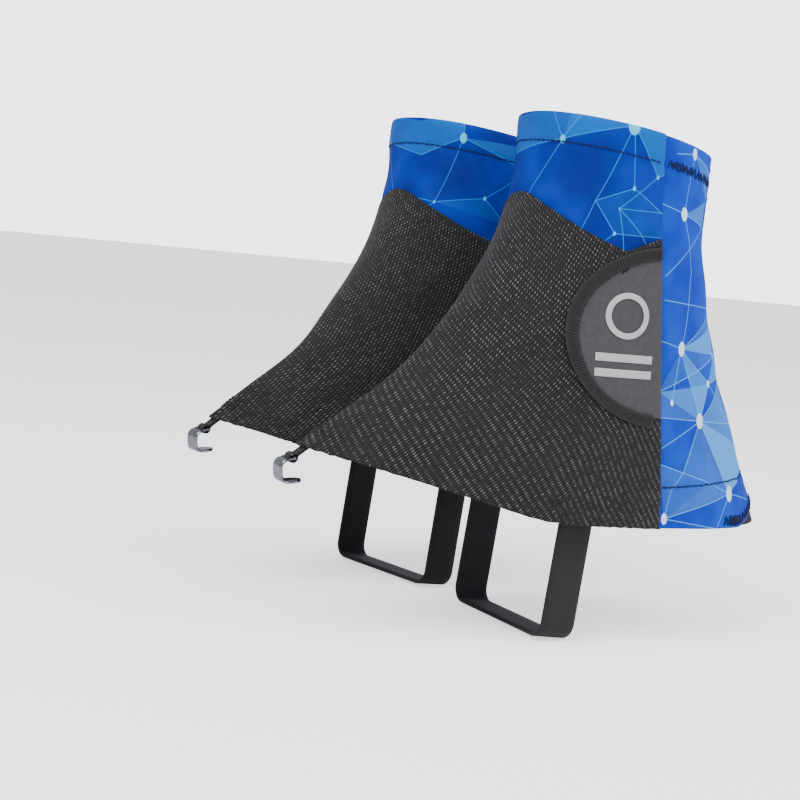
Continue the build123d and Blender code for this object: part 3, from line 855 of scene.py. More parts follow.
class BodyForm:
    """The cloth's outer form around shoe and ankle, in one gaiter's own frame."""

    def __init__(self, levels: Sequence[Level]) -> None:
        """Lays the cuts in a table, with one more beyond each end."""
        rows = np.array([[x.front, x.front_z, x.back, x.back_z, x.half_width, x.nose] for x in levels])
        self.table = np.vstack([2 * rows[0] - rows[1], rows, 2 * rows[-1] - rows[-2]])
        self.last = len(levels) - 1

    def at(self, angle: np.ndarray, level: np.ndarray, depth: float = 0.0) -> np.ndarray:
        """Points on the form.

        Args:
            angle: Angle round the leg from the shin, positive over the outer side.
            level: Where between the levels, as a whole and a part.
            depth: Depth under the outer form.

        Returns:
            The points, with one more axis than the inputs.
        """
        angle, level = np.broadcast_arrays(angle, level)
        k = np.clip(np.floor(level).astype(int), 0, self.last - 1)
        f = (level - k)[..., None]
        a, b, c, d = (self.table[k + step] for step in range(4))
        square, cube = 2 * a - 5 * b + 4 * c - d, 3 * b - a - 3 * c + d
        row = 0.5 * (2 * b + (c - a) * f + square * f**2 + cube * f**3)
        front, front_z, back, back_z, half, nose = np.moveaxis(row, -1, 0)
        nose = np.maximum(nose, 0.0)
        peak = np.sqrt((nose + 1) / (nose + 2))
        widest = 2 * peak ** (nose + 1) * np.sqrt(1 / (nose + 2))
        x = (half - depth) * np.sin(angle) * np.abs(np.sin(angle / 2)) ** nose / widest
        y = (back - front) / 2 - ((front + back) / 2 - depth) * np.cos(angle)
        z = (front_z + back_z) / 2 + (front_z - back_z) / 2 * np.cos(angle)
        return np.stack([x, y, z], -1)

    def level_at(self, angle: np.ndarray, line: Line, depth: float = 0.0) -> np.ndarray:
        """The level where the form crosses a line, for each angle.

        Args:
            angle: Angles round the leg.
            line: The line.
            depth: Depth under the outer form.

        Returns:
            A level for each angle.
        """
        low, high = np.full(np.shape(angle), -0.5), np.full(np.shape(angle), 6.5)
        for _ in range(26):
            middle = (low + high) / 2
            point = self.at(angle, middle, depth)
            over = point[..., 2] > line(point[..., 1])
            low, high = np.where(over, low, middle), np.where(over, middle, high)
        return (low + high) / 2

    def row(self, angle: np.ndarray, share: np.ndarray, bottom: Line, top: Line, depth: float) -> np.ndarray:
        """The level a share of the way from a lower to an upper line, for each angle.

        Args:
            angle: Angles round the leg.
            share: How far up.
            bottom: Lower line.
            top: Upper line.
            depth: Depth under the outer form.

        Returns:
            The levels.
        """
        start, end = self.level_at(angle, bottom, depth), self.level_at(angle, top, depth)
        return start + (end - start) * share

    def angle_at(self, edge: Line, share: np.ndarray, bottom: Line, top: Line, side: int,
                 depth: float) -> np.ndarray:
        """The angle of an edge line on each row.

        Args:
            edge: The edge's place along the foot at each height.
            share: How far up each row is.
            bottom: Lower line.
            top: Upper line.
            side: 1 for the outer side, -1 for the inner side.
            depth: Depth under the outer form.

        Returns:
            An angle for each row.
        """
        low, high = np.full(share.shape, 0.02), np.full(share.shape, math.pi - 0.02)
        for _ in range(24):
            middle = (low + high) / 2
            level = self.row(middle * side, share, bottom, top, depth)
            point = self.at(middle * side, level, depth)
            behind = point[..., 1] > edge(point[..., 2])
            low, high = np.where(behind, low, middle), np.where(behind, middle, high)
        return side * (low + high) / 2

    def on_side(self, y: np.ndarray, z: np.ndarray, depth: float, side: int = 1) -> np.ndarray:
        """Points on one side of the form, seen straight from the side at y and z.

        Args:
            y: Places along the foot.
            z: Heights.
            depth: Depth under the outer form.
            side: OUTER or INNER.

        Returns:
            The points.
        """
        y, z = np.broadcast_arrays(np.asarray(y, float), np.asarray(z, float))
        low, high = np.full(y.shape, 0.02), np.full(y.shape, math.pi - 0.02)
        for _ in range(22):
            middle = (low + high) / 2
            level = self.level_at(middle * side, lambda _, z=z: z, depth)
            behind = self.at(middle * side, level, depth)[..., 1] > y
            low, high = np.where(behind, low, middle), np.where(behind, middle, high)
        angle = side * (low + high) / 2
        return self.at(angle, self.level_at(angle, lambda _: z, depth), depth)


class Waves:
    """Smooth seeded unevenness, for cloth that isn't perfectly flat.

    Args:
        seed: Picks the pattern.
        sizes: The wavelengths across and up, in millimetres.
    """

    def __init__(self, seed: int, sizes: tuple[float, float]) -> None:
        """Draws the waves' directions, starts and strengths."""
        rng = random.Random(seed)
        self.terms = [(rng.uniform(0.6, 1.6) / sizes[0], rng.uniform(-1.5, 1.5) / sizes[1],
                       rng.uniform(0, 6.3),
                       rng.uniform(0.5, 1.0)) for _ in range(7)]

    def __call__(self, u: np.ndarray, v: np.ndarray) -> np.ndarray:
        """A value near -1 to 1 at each place."""
        total = sum(w * np.sin(2 * math.pi * (fu * u + fv * v) + phase) for fu, fv, phase, w in self.terms)
        return total / 3.2


@dataclass
class Grid:
    """A sheet as rows and columns of points with its own cloth coordinates in millimetres."""

    points: np.ndarray
    cloth: np.ndarray
    bottom_gap: np.ndarray
    top_gap: np.ndarray

    @classmethod
    def plain(cls, points: np.ndarray, across: np.ndarray, up: np.ndarray) -> "Grid":
        """A sheet whose distances from its lower and upper edges aren't used."""
        zero = np.zeros(points.shape[:2])
        return cls(points, np.stack(np.broadcast_arrays(across, up), -1), zero, zero)

    @property
    def normals(self) -> np.ndarray:
        """Outward unit normals."""
        return unit(np.cross(np.gradient(self.points, axis=1), np.gradient(self.points, axis=0)))

    def moved(self, height: Union[float, np.ndarray]) -> "Grid":
        """The sheet moved out along its normals."""
        lift = np.broadcast_to(np.asarray(height, float), self.points.shape[:2])[..., None]
        return Grid(self.points + self.normals * lift, self.cloth, self.bottom_gap, self.top_gap)

    @property
    def area(self) -> float:
        """Area in square metres."""
        p = self.points
        one = np.cross(p[1:, 1:] - p[:-1, :-1], p[1:, :-1] - p[:-1, 1:])
        return float(np.linalg.norm(one, axis=-1).sum() / 2) * MM * MM

    @property
    def flat(self) -> tuple[float, float]:
        """The longest row and the longest column, in metres."""
        across = np.linalg.norm(np.diff(self.points, axis=1), axis=-1).sum(1).max()
        up = np.linalg.norm(np.diff(self.points, axis=0), axis=-1).sum(0).max()
        return float(across) * MM, float(up) * MM


def unit(vectors: np.ndarray) -> np.ndarray:
    """The vectors, each made one long."""
    return vectors / np.maximum(np.linalg.norm(vectors, axis=-1, keepdims=True), 1e-9)


def swell(distance: np.ndarray, width: float, power: float = 2.0) -> np.ndarray:
    """A rounded swelling about distance zero, 1 high.

    Args:
        distance: How far each point is from the swelling's middle.
        width: How far out it has nearly died away.
        power: How blunt its top is.

    Returns:
        Its height at each point.
    """
    return np.exp(-np.abs(distance / width) ** power)


def lengths(path: np.ndarray) -> np.ndarray:
    """The distance along a path at each of its points, from its first one."""
    return np.concatenate([[0], np.cumsum(np.linalg.norm(np.diff(path, axis=0), axis=1))])


def resampled(path: np.ndarray, spots: np.ndarray, along: np.ndarray) -> np.ndarray:
    """The values that a path's points have at some distances along it.

    Args:
        path: One row of values for each point.
        spots: The distances wanted.
        along: The distance at each point.

    Returns:
        One row of values for each distance wanted.
    """
    return np.stack([np.interp(spots, along, column) for column in path.T], 1)


@dataclass(frozen=True)
class Panel:
    """A part of the body's form between two lines up the leg and two lines round it.

    Attributes:
        start: First edge: its side and its line.
        end: Last edge: its side and its line.
        bottom: Lower line.
        top: Upper line.
        depth: Depth of its outer face under the outer form.
        step: Size of the grid's squares, in millimetres.
    """

    start: tuple[int, Line]
    end: tuple[int, Line]
    bottom: Line
    top: Line
    depth: float = 0.0
    step: float = 1.6

    def grid(self, form: BodyForm, zero: Optional[Line] = None, base: Optional[Line] = None) -> Grid:
        """The panel as a grid.

        Args:
            form: The form it lies on.
            zero: The outer line where the cloth's across measure is zero; the shin if there is none.
            base: The line where its up measure is 60; plain height above 48 if there is none.

        Returns:
            The grid.
        """
        lines = self.bottom, self.top
        first, last = self._angles(form, np.linspace(0.0, 1.0, 9))
        turns = self._turn(last, first)
        cols = int(max(8, min(420, turns.max() * 62.0 / self.step)))
        middle = np.median(first + turns / 2)
        level = form.row(np.array(middle), np.array([0.0, 1.0]), *lines, self.depth)
        ends = form.at(middle, level, self.depth)
        rows = int(max(6, min(260, np.linalg.norm(ends[1] - ends[0]) / self.step * 1.1)))
        share = np.linspace(0.0, 1.0, rows)
        first, last = self._angles(form, share)
        across = np.linspace(0.0, 1.0, cols)[None, :]
        angle = first[:, None] + self._turn(last, first)[:, None] * across
        level = form.row(angle, share[:, None] * np.ones_like(angle), *lines, self.depth)
        points = form.at(angle, level, self.depth)
        steps = np.linalg.norm(np.diff(points, axis=1), axis=-1)
        along = np.concatenate([np.zeros((rows, 1)), np.cumsum(steps, 1)], 1)
        for k in range(rows):
            if zero is None:
                along[k] -= np.interp(0.0, angle[k], along[k])
            else:
                gap = points[k, : cols // 2, 1] - zero(points[k, : cols // 2, 2])
                along[k] -= np.interp(0.0, gap, along[k, : cols // 2])
        up = points[..., 2] - 48.0 if base is None else 60.0 - (base(points[..., 1]) - points[..., 2])
        bottom_gap = points[..., 2] - self.bottom(points[..., 1])
        top_gap = self.top(points[..., 1]) - points[..., 2]
        return Grid(points, np.stack([along, up], -1), bottom_gap, top_gap)

    def _angles(self, form: BodyForm, share: np.ndarray) -> list[np.ndarray]:
        """The angles of the two edges on each row."""
        return [form.angle_at(line, share, self.bottom, self.top, side, self.depth)
                for side, line in (self.start, self.end)]

    def _turn(self, last: np.ndarray, first: np.ndarray) -> np.ndarray:
        """The angle from first to last, always the way round from shin over the outer side to the heel."""
        return np.mod(last - first, 2 * math.pi)


# --------------------------------------------------------------------------- meshes


@dataclass
class Body:
    """A mesh being put together, in millimetres, with cloth coordinates."""

    points: list
    cloth: list
    faces: list

    @classmethod
    def empty(cls) -> "Body":
        """A body with nothing in it."""
        return cls([], [], [])

    def add(self, points: np.ndarray, cloth: np.ndarray, faces: np.ndarray) -> None:
        """Adds points and faces.

        Args:
            points: The points.
            cloth: Their cloth coordinates.
            faces: The faces, which count from the first of these points.
        """
        start = len(self.points)
        self.points.extend(points.tolist())
        self.cloth.extend(cloth.tolist())
        self.faces.extend((np.asarray(faces) + start).tolist())

    def add_sheet(self, grid: Grid, thickness: float) -> None:
        """Adds a sheet with a rounded edge.

        Args:
            grid: Its outer face.
            thickness: Its thickness.
        """
        outer, normals = grid.points, grid.normals
        rows, cols = outer.shape[:2]
        inner = outer - normals * thickness
        index = np.arange(rows * cols).reshape(rows, cols)
        loop = np.concatenate([index[0, :-1], index[:-1, -1], index[-1, :0:-1], index[:0:-1, 0]])
        flat, flat_n = outer.reshape(-1, 3), normals.reshape(-1, 3)
        inward = np.zeros_like(outer)
        inward[0] += unit(outer[1] - outer[0])
        inward[-1] += unit(outer[-2] - outer[-1])
        inward[:, 0] += unit(outer[:, 1] - outer[:, 0])
        inward[:, -1] += unit(outer[:, -2] - outer[:, -1])
        outward = -unit(inward.reshape(-1, 3)[loop])
        middle = flat[loop] - flat_n[loop] * thickness / 2 + outward * thickness / 2
        upper = flat[loop] - flat_n[loop] * thickness * 0.15 + outward * thickness * 0.36
        lower = flat[loop] - flat_n[loop] * thickness * 0.85 + outward * thickness * 0.36
        count, ring = rows * cols, len(loop)
        quads = np.stack([index[:-1, :-1], index[:-1, 1:], index[1:, 1:], index[1:, :-1]], -1).reshape(-1, 4)
        faces = [quads, quads[:, ::-1] + count]
        k, n = np.arange(ring), (np.arange(ring) + 1) % ring
        bands = [loop, 2 * count + np.arange(ring), 2 * count + ring + np.arange(ring),
                 2 * count + 2 * ring + np.arange(ring), loop + count]
        for near, far in zip(bands, bands[1:]):
            faces.append(np.stack([near[k], far[k], far[n], near[n]], -1))
        cloth = grid.cloth.reshape(-1, 2)
        points = np.concatenate([flat, inner.reshape(-1, 3), upper, middle, lower])
        self.add(points, np.concatenate([cloth, cloth] + [cloth[loop]] * 3), np.concatenate(faces))

    def _add_tube(self, rings: np.ndarray, cloth: np.ndarray) -> None:
        """Adds a closed tube.

        Args:
            rings: The rings of points along it.
            cloth: The cloth coordinates, point by point.
        """
        count, sides = rings.shape[:2]
        index = np.arange(count * sides).reshape(count, sides)
        nearer = np.roll(index, -1, 1)
        quads = np.stack([index[:-1], nearer[:-1], nearer[1:], index[1:]], -1).reshape(-1, 4)
        start = len(self.points)
        self.add(rings.reshape(-1, 3), cloth, quads)
        self.faces.append((start + index[0][::-1]).tolist())
        self.faces.append((start + index[-1]).tolist())

    def add_thread(self, path: np.ndarray, radius: float, sides: int = 6) -> None:
        """Adds a piece of thread along a path, drawn in at its two ends.

        Args:
            path: Points along its middle.
            radius: Its radius.
            sides: How many flats go round it.
        """
        tangent = unit(np.gradient(path, axis=0))
        helper = np.array([0.37, 0.21, 0.9])
        right = unit(np.cross(tangent, helper))
        upward = np.cross(right, tangent)
        turn = np.arange(sides) * 2 * math.pi / sides
        size = np.full(len(path), radius)
        size[0] = size[-1] = radius * 0.45
        ring = right[:, None] * np.cos(turn)[None, :, None] + upward[:, None] * np.sin(turn)[None, :, None]
        points = path[:, None] + ring * size[:, None, None]
        cloth = np.stack([np.repeat(lengths(path), sides), np.tile(turn * radius, len(path))], -1)
        self._add_tube(points, cloth)

    def add_ribbon(self, path: np.ndarray, sideways: np.ndarray, widths: np.ndarray,
                   thickness: float) -> None:
        """Adds a flat tape with rounded edges along a path.

        Args:
            path: Points along its middle.
            sideways: Unit direction across it.
            widths: Its width at each point.
            thickness: Its thickness.
        """
        tangent = unit(np.gradient(path, axis=0))
        normal = unit(np.cross(tangent, sideways[None, :]))
        half = thickness / 2
        shape = [(-1, 0), (-1, 0.55), (-1, 1), (-0.5, 1), (0, 1), (0.5, 1), (1, 1), (1, 0.55), (1, 0),
                 (1, -0.55), (1, -1), (0.5, -1), (0, -1), (-0.5, -1), (-1, -1), (-1, -0.55)]
        inset = [0.0, 0.35, 1.0, 1.0, 1.0, 1.0, 1.0, 0.35, 0.0, 0.35, 1.0, 1.0, 1.0, 1.0, 1.0, 0.35]
        rings = []
        for (across, up), draw in zip(shape, inset):
            edge = np.maximum(widths / 2 - draw * half * (abs(across) == 1), 0.01)
            rings.append(path + sideways[None, :] * (across * edge)[:, None] + normal * (up * half))
        points = np.stack(rings, 1)
        place = np.array([across for across, _ in shape])
        along = np.repeat(lengths(path)[:, None], len(shape), 1)
        cloth = np.stack([place[None, :] * widths[:, None] / 2, along], -1)
        self._add_tube(points, cloth.reshape(-1, 2))


@dataclass(frozen=True)
class Placement:
    """Where one gaiter stands in the pair."""

    side: Side
    spacing: float = 100.0
    behind: float = 29.0
    toe_in: float = 4.75

    def world(self, points: np.ndarray) -> np.ndarray:
        """Points of the gaiter's own frame, in millimetres, as metres in the shared frame."""
        return self.turn(points) * MM + np.array([self.sign * self.spacing / 2, self.behind, 0.0]) * MM

    def turn(self, vectors: np.ndarray) -> np.ndarray:
        """Directions of the gaiter's own frame in the shared frame."""
        c, s = math.cos(math.radians(self.toe_in)), math.sin(math.radians(self.toe_in))
        x, y, z = np.moveaxis(np.asarray(vectors, float), -1, 0)
        return np.stack([self.sign * (c * x + s * y), -s * x + c * y, z], -1)

    @property
    def sign(self) -> int:
        """1 for the left gaiter, -1 for the right one, which is its mirror image."""
        return 1 if self.side is Side.LEFT else -1


@dataclass(frozen=True)
class Hold:
    """What moves a piece: one body; a piece across the flap's fold is baked in place and tied to no body."""

    body: str = "shell"
    folds: bool = False


ON_SHELL, ON_FLAP, ACROSS_FOLD = Hold("shell"), Hold("flap"), Hold("flap", True)


class Maker:
    """Turns meshes into the scene's objects for one gaiter.

    Args:
        place: Where the gaiter stands.
        form: The form of its body.
    """

    fold_height = 125.0
    fold_reach = 4.0

    def __init__(self, place: Placement, form: BodyForm) -> None:
        """Keeps the two and finds the flap's fold."""
        self.place, self.form = place, form
        self.fold = self._fold()

    def _fold(self) -> tuple[Vector, Vector]:
        """Where the flap starts and ends its bend, across the fold."""
        z = self.fold_height
        y = straight(FLAP_HINGE)(z)
        spot = self.form.on_side(np.array([y]), np.array([z]), 0.0)[0]
        back = self.form.on_side(np.array([y + 1.0]), np.array([z]), 0.0)[0] - spot
        axis = unit(np.array([-0.0445, 28.0 / 150.0, 1.0]))
        tangent = unit(back - axis * back.dot(axis))
        normal = np.cross(tangent, axis)
        if normal[0] < 0:
            normal = -normal
        across = unit(tangent + 0.5 * normal)
        ends = [spot - self.fold_reach * across, spot + self.fold_reach * across]
        return tuple(Vector(self.place.world(p)) for p in ends)

    def build(self, name: str, body: Body, material: bpy.types.Material, hold: Hold,
              stands_for: Sequence[str],
              slot: str, sharp: float = 60.0) -> bpy.types.Object:
        """Makes an object and ties it to the model.

        Args:
            name: What the piece is, without its side.
            body: Its mesh.
            material: Its finish.
            hold: What moves it.
            stands_for: The model's pieces that it is drawn instead of, without their side.
            slot: Not used.
            sharp: Edges bent by more degrees than this stay sharp.

        Returns:
            The object.
        """
        side = self.place.side.value
        title = f"{side}_{name}_finished".replace(" ", "_")
        mesh = bpy.data.meshes.new(title)
        points = self.place.world(np.array(body.points))
        faces = [list(f) if self.place.sign > 0 else list(f)[::-1] for f in body.faces]
        mesh.from_pydata(points.tolist(), [], faces)
        layer = mesh.uv_layers.new(name=CLOTH_MAP)
        corner = np.empty(len(mesh.loops), np.int32)
        mesh.loops.foreach_get("vertex_index", corner)
        layer.data.foreach_set("uv", np.array(body.cloth, np.float32)[corner].ravel())
        mesh.polygons.foreach_set("use_smooth", np.ones(len(mesh.polygons), bool))
        mesh.set_sharp_from_angle(angle=math.radians(sharp))
        mesh.materials.append(material)
        mesh.update()
        obj = bpy.data.objects.new(title, mesh)
        bpy.context.scene.collection.objects.link(obj)
        if hold.folds:
            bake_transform(obj)
        else:
            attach(obj, f"{side}_{hold.body}")
        if stands_for:
            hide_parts(*(f"{side}_{node}" for node in stands_for))
        log.info("%s %s: %d faces", side, name, len(faces))
        return obj

    def band(self, name: str, panel: Panel, thickness: float, material: bpy.types.Material, hold: Hold,
             slot: str,
             lift: float = 0.0, base: Optional[Line] = None) -> bpy.types.Object:
        """Makes a plain band of cloth, drawn instead of the model's piece of the same name.

        Args:
            name: What the band is.
            panel: Where it lies.
            thickness: Its thickness.
            material: Its finish.
            hold: What moves it.
            slot: Not used; only passed on.
            lift: How far it is moved out from the panel.
            base: The line that its up measure starts from, as in Panel.grid.

        Returns:
            The object.
        """
        grid = panel.grid(self.form, base=base)
        if lift:
            grid = grid.moved(lift)
        return self.sheet(name, grid, thickness, material, hold, (name.replace(" ", "_"),), slot)

    def sheet(self, name: str, grid: Grid, thickness: float, material: bpy.types.Material, hold: Hold,
              stands_for: Sequence[str], slot: str, held: str = "stretched") -> bpy.types.Object:
        """Args:
            name: What the piece is, without its side.
            grid: Its outer face.
            thickness: Its thickness.
            material: Its finish.
            hold: What moves it.
            stands_for: The model's pieces that it is drawn instead of.
            slot: Not used; only passed on.
            held: Not used.

        Returns:
            The object.
        """
        body = Body.empty()
        body.add_sheet(grid, thickness)
        obj = self.build(name, body, material, hold, stands_for, slot)
        return obj


# --------------------------------------------------------------------------- sewing


@dataclass(frozen=True)
class Stitching:
    """Rows of stitches in one thread."""

    radius: float = 0.22
    length: float = 2.6
    gap: float = 0.9
    sink: float = 0.12

    def straight(self, body: Body, path: np.ndarray, normals: np.ndarray) -> None:
        """Adds a row of lock stitches along a path on cloth.

        Args:
            body: The mesh that takes the thread.
            path: Points along the row.
            normals: The cloth's normals there.
        """
        along = lengths(path)
        place = 0.5
        while place + self.length < along[-1] - 0.3:
            spots = place + self.length * np.array([0.0, 0.12, 0.3, 0.5, 0.7, 0.88, 1.0])
            rise = self.radius * np.array([-1.2, 0.1, 0.75, 0.9, 0.75, 0.1, -1.2])
            body.add_thread(self._lifted(path, normals, spots, rise), self.radius)
            place += self.length + self.gap

    def zigzag(self, body: Body, path: np.ndarray, normals: np.ndarray, width: float, pitch: float,
               seed: int = 0) -> None:
        """Adds a zigzag row, slightly uneven, centred on a path on cloth.

        Args:
            body: The mesh that takes the thread.
            path: Points along the row.
            normals: The cloth's normals there.
            width: The row's width.
            pitch: The length of one stroke along the row.
            seed: Picks the unevenness.
        """
        rng = random.Random(seed)
        along = lengths(path)
        tangent = unit(np.gradient(path, axis=0))
        across = unit(np.cross(normals, tangent))
        place, way = 0.3, 1.0
        while place + pitch < along[-1]:
            spots = place + pitch * np.array([0.0, 0.15, 0.5, 0.85, 1.0])
            rise = self.radius * np.array([-0.9, 0.5, 0.9, 0.5, -0.9])
            points = self._lifted(path, normals, spots, rise)
            aside = resampled(across, spots, along)
            reach = width / 2 * way * rng.uniform(0.85, 1.1)
            swing = reach * np.array([-1.0, -0.72, 0.0, 0.72, 1.0])
            body.add_thread(points + aside * swing[:, None], self.radius)
            place, way = place + pitch * rng.uniform(0.85, 1.15), -way

    @staticmethod
    def _lifted(path: np.ndarray, normals: np.ndarray, spots: np.ndarray, rise: np.ndarray) -> np.ndarray:
        """Points at distances along a path, lifted off the cloth.

        Args:
            path: Points along the row.
            normals: The cloth's normals there.
            spots: The distances along it.
            rise: How far each point is lifted.

        Returns:
            The points.
        """
        along = lengths(path)
        return resampled(path, spots, along) + resampled(normals, spots, along) * rise[:, None]


def track(grid: Grid, choose: Callable[[Grid], np.ndarray],
          count: int = 600) -> tuple[np.ndarray, np.ndarray]:
    """A path across every column of a grid, at the row that a rule picks.

    Args:
        grid: The cloth.
        choose: Gives, for every grid point, a value that crosses zero on the path.
        count: Points on the path.

    Returns:
        The path and the cloth's normals along it.
    """
    value, normals = choose(grid), grid.normals
    points, ups = [], []
    for j in range(value.shape[1]):
        column = value[:, j]
        order = np.argsort(column)
        points.append([np.interp(0.0, column[order], grid.points[order, j, k]) for k in range(3)])
        ups.append([np.interp(0.0, column[order], normals[order, j, k]) for k in range(3)])
    path, up = np.array(points), np.array(ups)
    along = lengths(path)
    even = np.linspace(0, along[-1], count)
    return resampled(path, even, along), unit(resampled(up, even, along))


# --------------------------------------------------------------------------- the gaiter's sub-assemblies


@dataclass
class FrontCloth:
    """The woven mesh over instep and shin with the flap that goes on from it, and the hem inside."""

    make: Maker
    look: Finishes
    thickness: float = 1.0
    gather: float = 0.55
    ripple: float = 0.28
    slack: float = 0.45
    casing_height: float = 6.5
    casing_dip: float = 0.38
    elastic_thickness: float = 0.75
    tape_thickness: float = 1.4
    tape_width: float = 8.0

    def dress(self) -> None:
        """Builds the mesh cloth, its edge thread, the hem's elastic bands and the inner seam's tape."""
        panel = Panel((INNER, straight(INNER_SEAM)), (OUTER, straight(FLAP_EDGE)), hem(),
                      curve(SEAM_POINTS, 0.8),
                      0.0, 1.25)
        grid = panel.grid(self.make.form)
        grid = grid.moved(self._relief(grid))
        self.make.sheet("mesh cloth", grid, self.thickness, self.look.mesh, ACROSS_FOLD,
                        ("front_panel", "flap_panel"), "woven_mesh", "gathered")
        thread, sew = Body.empty(), Stitching(0.17, 1.5, 1.1)
        sew.straight(thread, *track(grid, lambda g: g.top_gap * -1.0 + 1.4))
        sew.straight(thread, *track(grid, lambda g: g.bottom_gap - 6.3))
        self.make.build("mesh edge thread", thread, self.look.black_thread, ACROSS_FOLD, (),
                        "overlock_thread")
        self._bands()

    def _relief(self, grid: Grid) -> np.ndarray:
        """The gathers at the hem, the slack of the cloth and the dips along its sewing."""
        u, v = grid.cloth[..., 0], grid.cloth[..., 1]
        waves, soft = Waves(11, (5.0, 40.0)), Waves(5, (38.0, 44.0))
        low = swell(np.maximum(grid.bottom_gap - 1.0, 0), 6.5, 1.6)
        long = swell(np.maximum(grid.bottom_gap, 0), 16.0, 1.0)
        relief = self.gather * low * (waves(u, v) - 0.2) + self.ripple * long * waves(u * 0.62 + 9, v)
        relief += self.slack * soft(u, v)
        relief -= self.casing_dip * swell(grid.bottom_gap - self.casing_height, 0.9) + 0.1
        relief *= 1 - swell(np.maximum(grid.top_gap, 0), 4.0)
        return relief - 0.12 * swell(grid.top_gap - 1.6, 0.7)

    def _bands(self) -> None:
        """The hem's elastic on both sides of the fold, and the tape up the inner seam."""
        low, high = hem(0.4), hem(6.0)
        elastic = self.look.elastic
        band = Panel((INNER, straight(INNER_SEAM, -8.5)), (OUTER, straight(FLAP_HINGE, -FOLD_CLEAR)), low,
                     high,
                     UNDER_SHELL, BAND_GRID)
        self.make.band("hem elastic", band, self.elastic_thickness, elastic, ON_SHELL, "elastic", -0.55)
        band = Panel((OUTER, straight(FLAP_HINGE, 1.6)), (OUTER, straight(FLAP_EDGE, -0.6)), low, high,
                     UNDER_SHELL, BAND_GRID)
        self.make.band("flap hem elastic", band, self.elastic_thickness, elastic, ACROSS_FOLD, "elastic",
                       -0.3)
        tape = Panel((INNER, straight(INNER_SEAM, -0.1)), (INNER, straight(INNER_SEAM, -self.tape_width)),
                     hem(0.3),
                     rim(0.3), UNDER_SHELL, 2.5)
        self.make.band("inner seam tape", tape, self.tape_thickness, elastic, ON_SHELL, "elastic")


@dataclass
class Cuff:
    """The printed stretch cuff at the ankle, with its folded top edge."""

    make: Maker
    look: Finishes
    thickness: float = 0.95
    hem_height: float = 11.0
    hem_dip: float = 0.42
    hem_rise: float = 0.30
    slack: float = 0.35
    tuck: float = 0.75
    tuck_width: float = 3.0
    lap: float = 2.4

    def dress(self) -> None:
        """Builds the cuff's cloth, its top stitching, the elastic and the turned-in edge."""
        panel = Panel((INNER, straight(INNER_SEAM)), (OUTER, straight(FLAP_EDGE)),
                      curve(SEAM_POINTS, 0.8, -self.lap), rim(), 0.3, 1.1)
        grid = panel.grid(self.make.form, base=rim())
        grid = grid.moved(self._relief(grid))
        self.make.sheet("cuff cloth", grid, self.thickness, self.look.cuff, ACROSS_FOLD,
                        ("cuff_front", "flap_cuff"), "printed_knit")
        thread = Body.empty()
        Stitching(0.27, 2.5, 0.12).straight(thread, *track(grid, lambda g: self.hem_height - g.top_gap))
        self.make.build("cuff top stitching", thread, self.look.navy_thread, ACROSS_FOLD, (), "navy_thread")
        start, end = (INNER, straight(INNER_SEAM, -8.5)), (OUTER, straight(FLAP_HINGE, -FOLD_CLEAR))
        band = Panel(start, end, rim(9.5), rim(1.5), 1.4, BAND_GRID)
        self.make.band("cuff elastic", band, 0.5, self.look.elastic, ON_SHELL, "elastic")
        facing = Panel(start, end, rim(12.0), rim(0.2), 1.95, 2.0)
        self.make.band("cuff facing", facing, 0.55, self.look.cuff, ON_SHELL, "printed_knit", base=rim())

    def _relief(self, grid: Grid) -> np.ndarray:
        """The puckers and the dip along the top hem, and the lower edge tucked under the mesh."""
        u, v = grid.cloth[..., 0], grid.cloth[..., 1]
        fold, soft, pucker = grid.top_gap - self.hem_height, Waves(21, (30.0, 26.0)), Waves(8, (7.0, 30.0))
        relief = self.slack * soft(u, v) - self.hem_dip * swell(fold, 0.8)
        relief += self.hem_rise * swell(fold, 3.2) * pucker(u, v)
        doubled = 1 - swell(np.maximum(grid.top_gap, 0), 1.4, 1.0)
        relief += self.hem_rise * doubled * (grid.top_gap < self.hem_height + 0.4)
        tuck = swell(np.maximum(grid.bottom_gap - self.lap, 0), self.tuck_width)
        return relief * (1 - tuck) - self.tuck * tuck


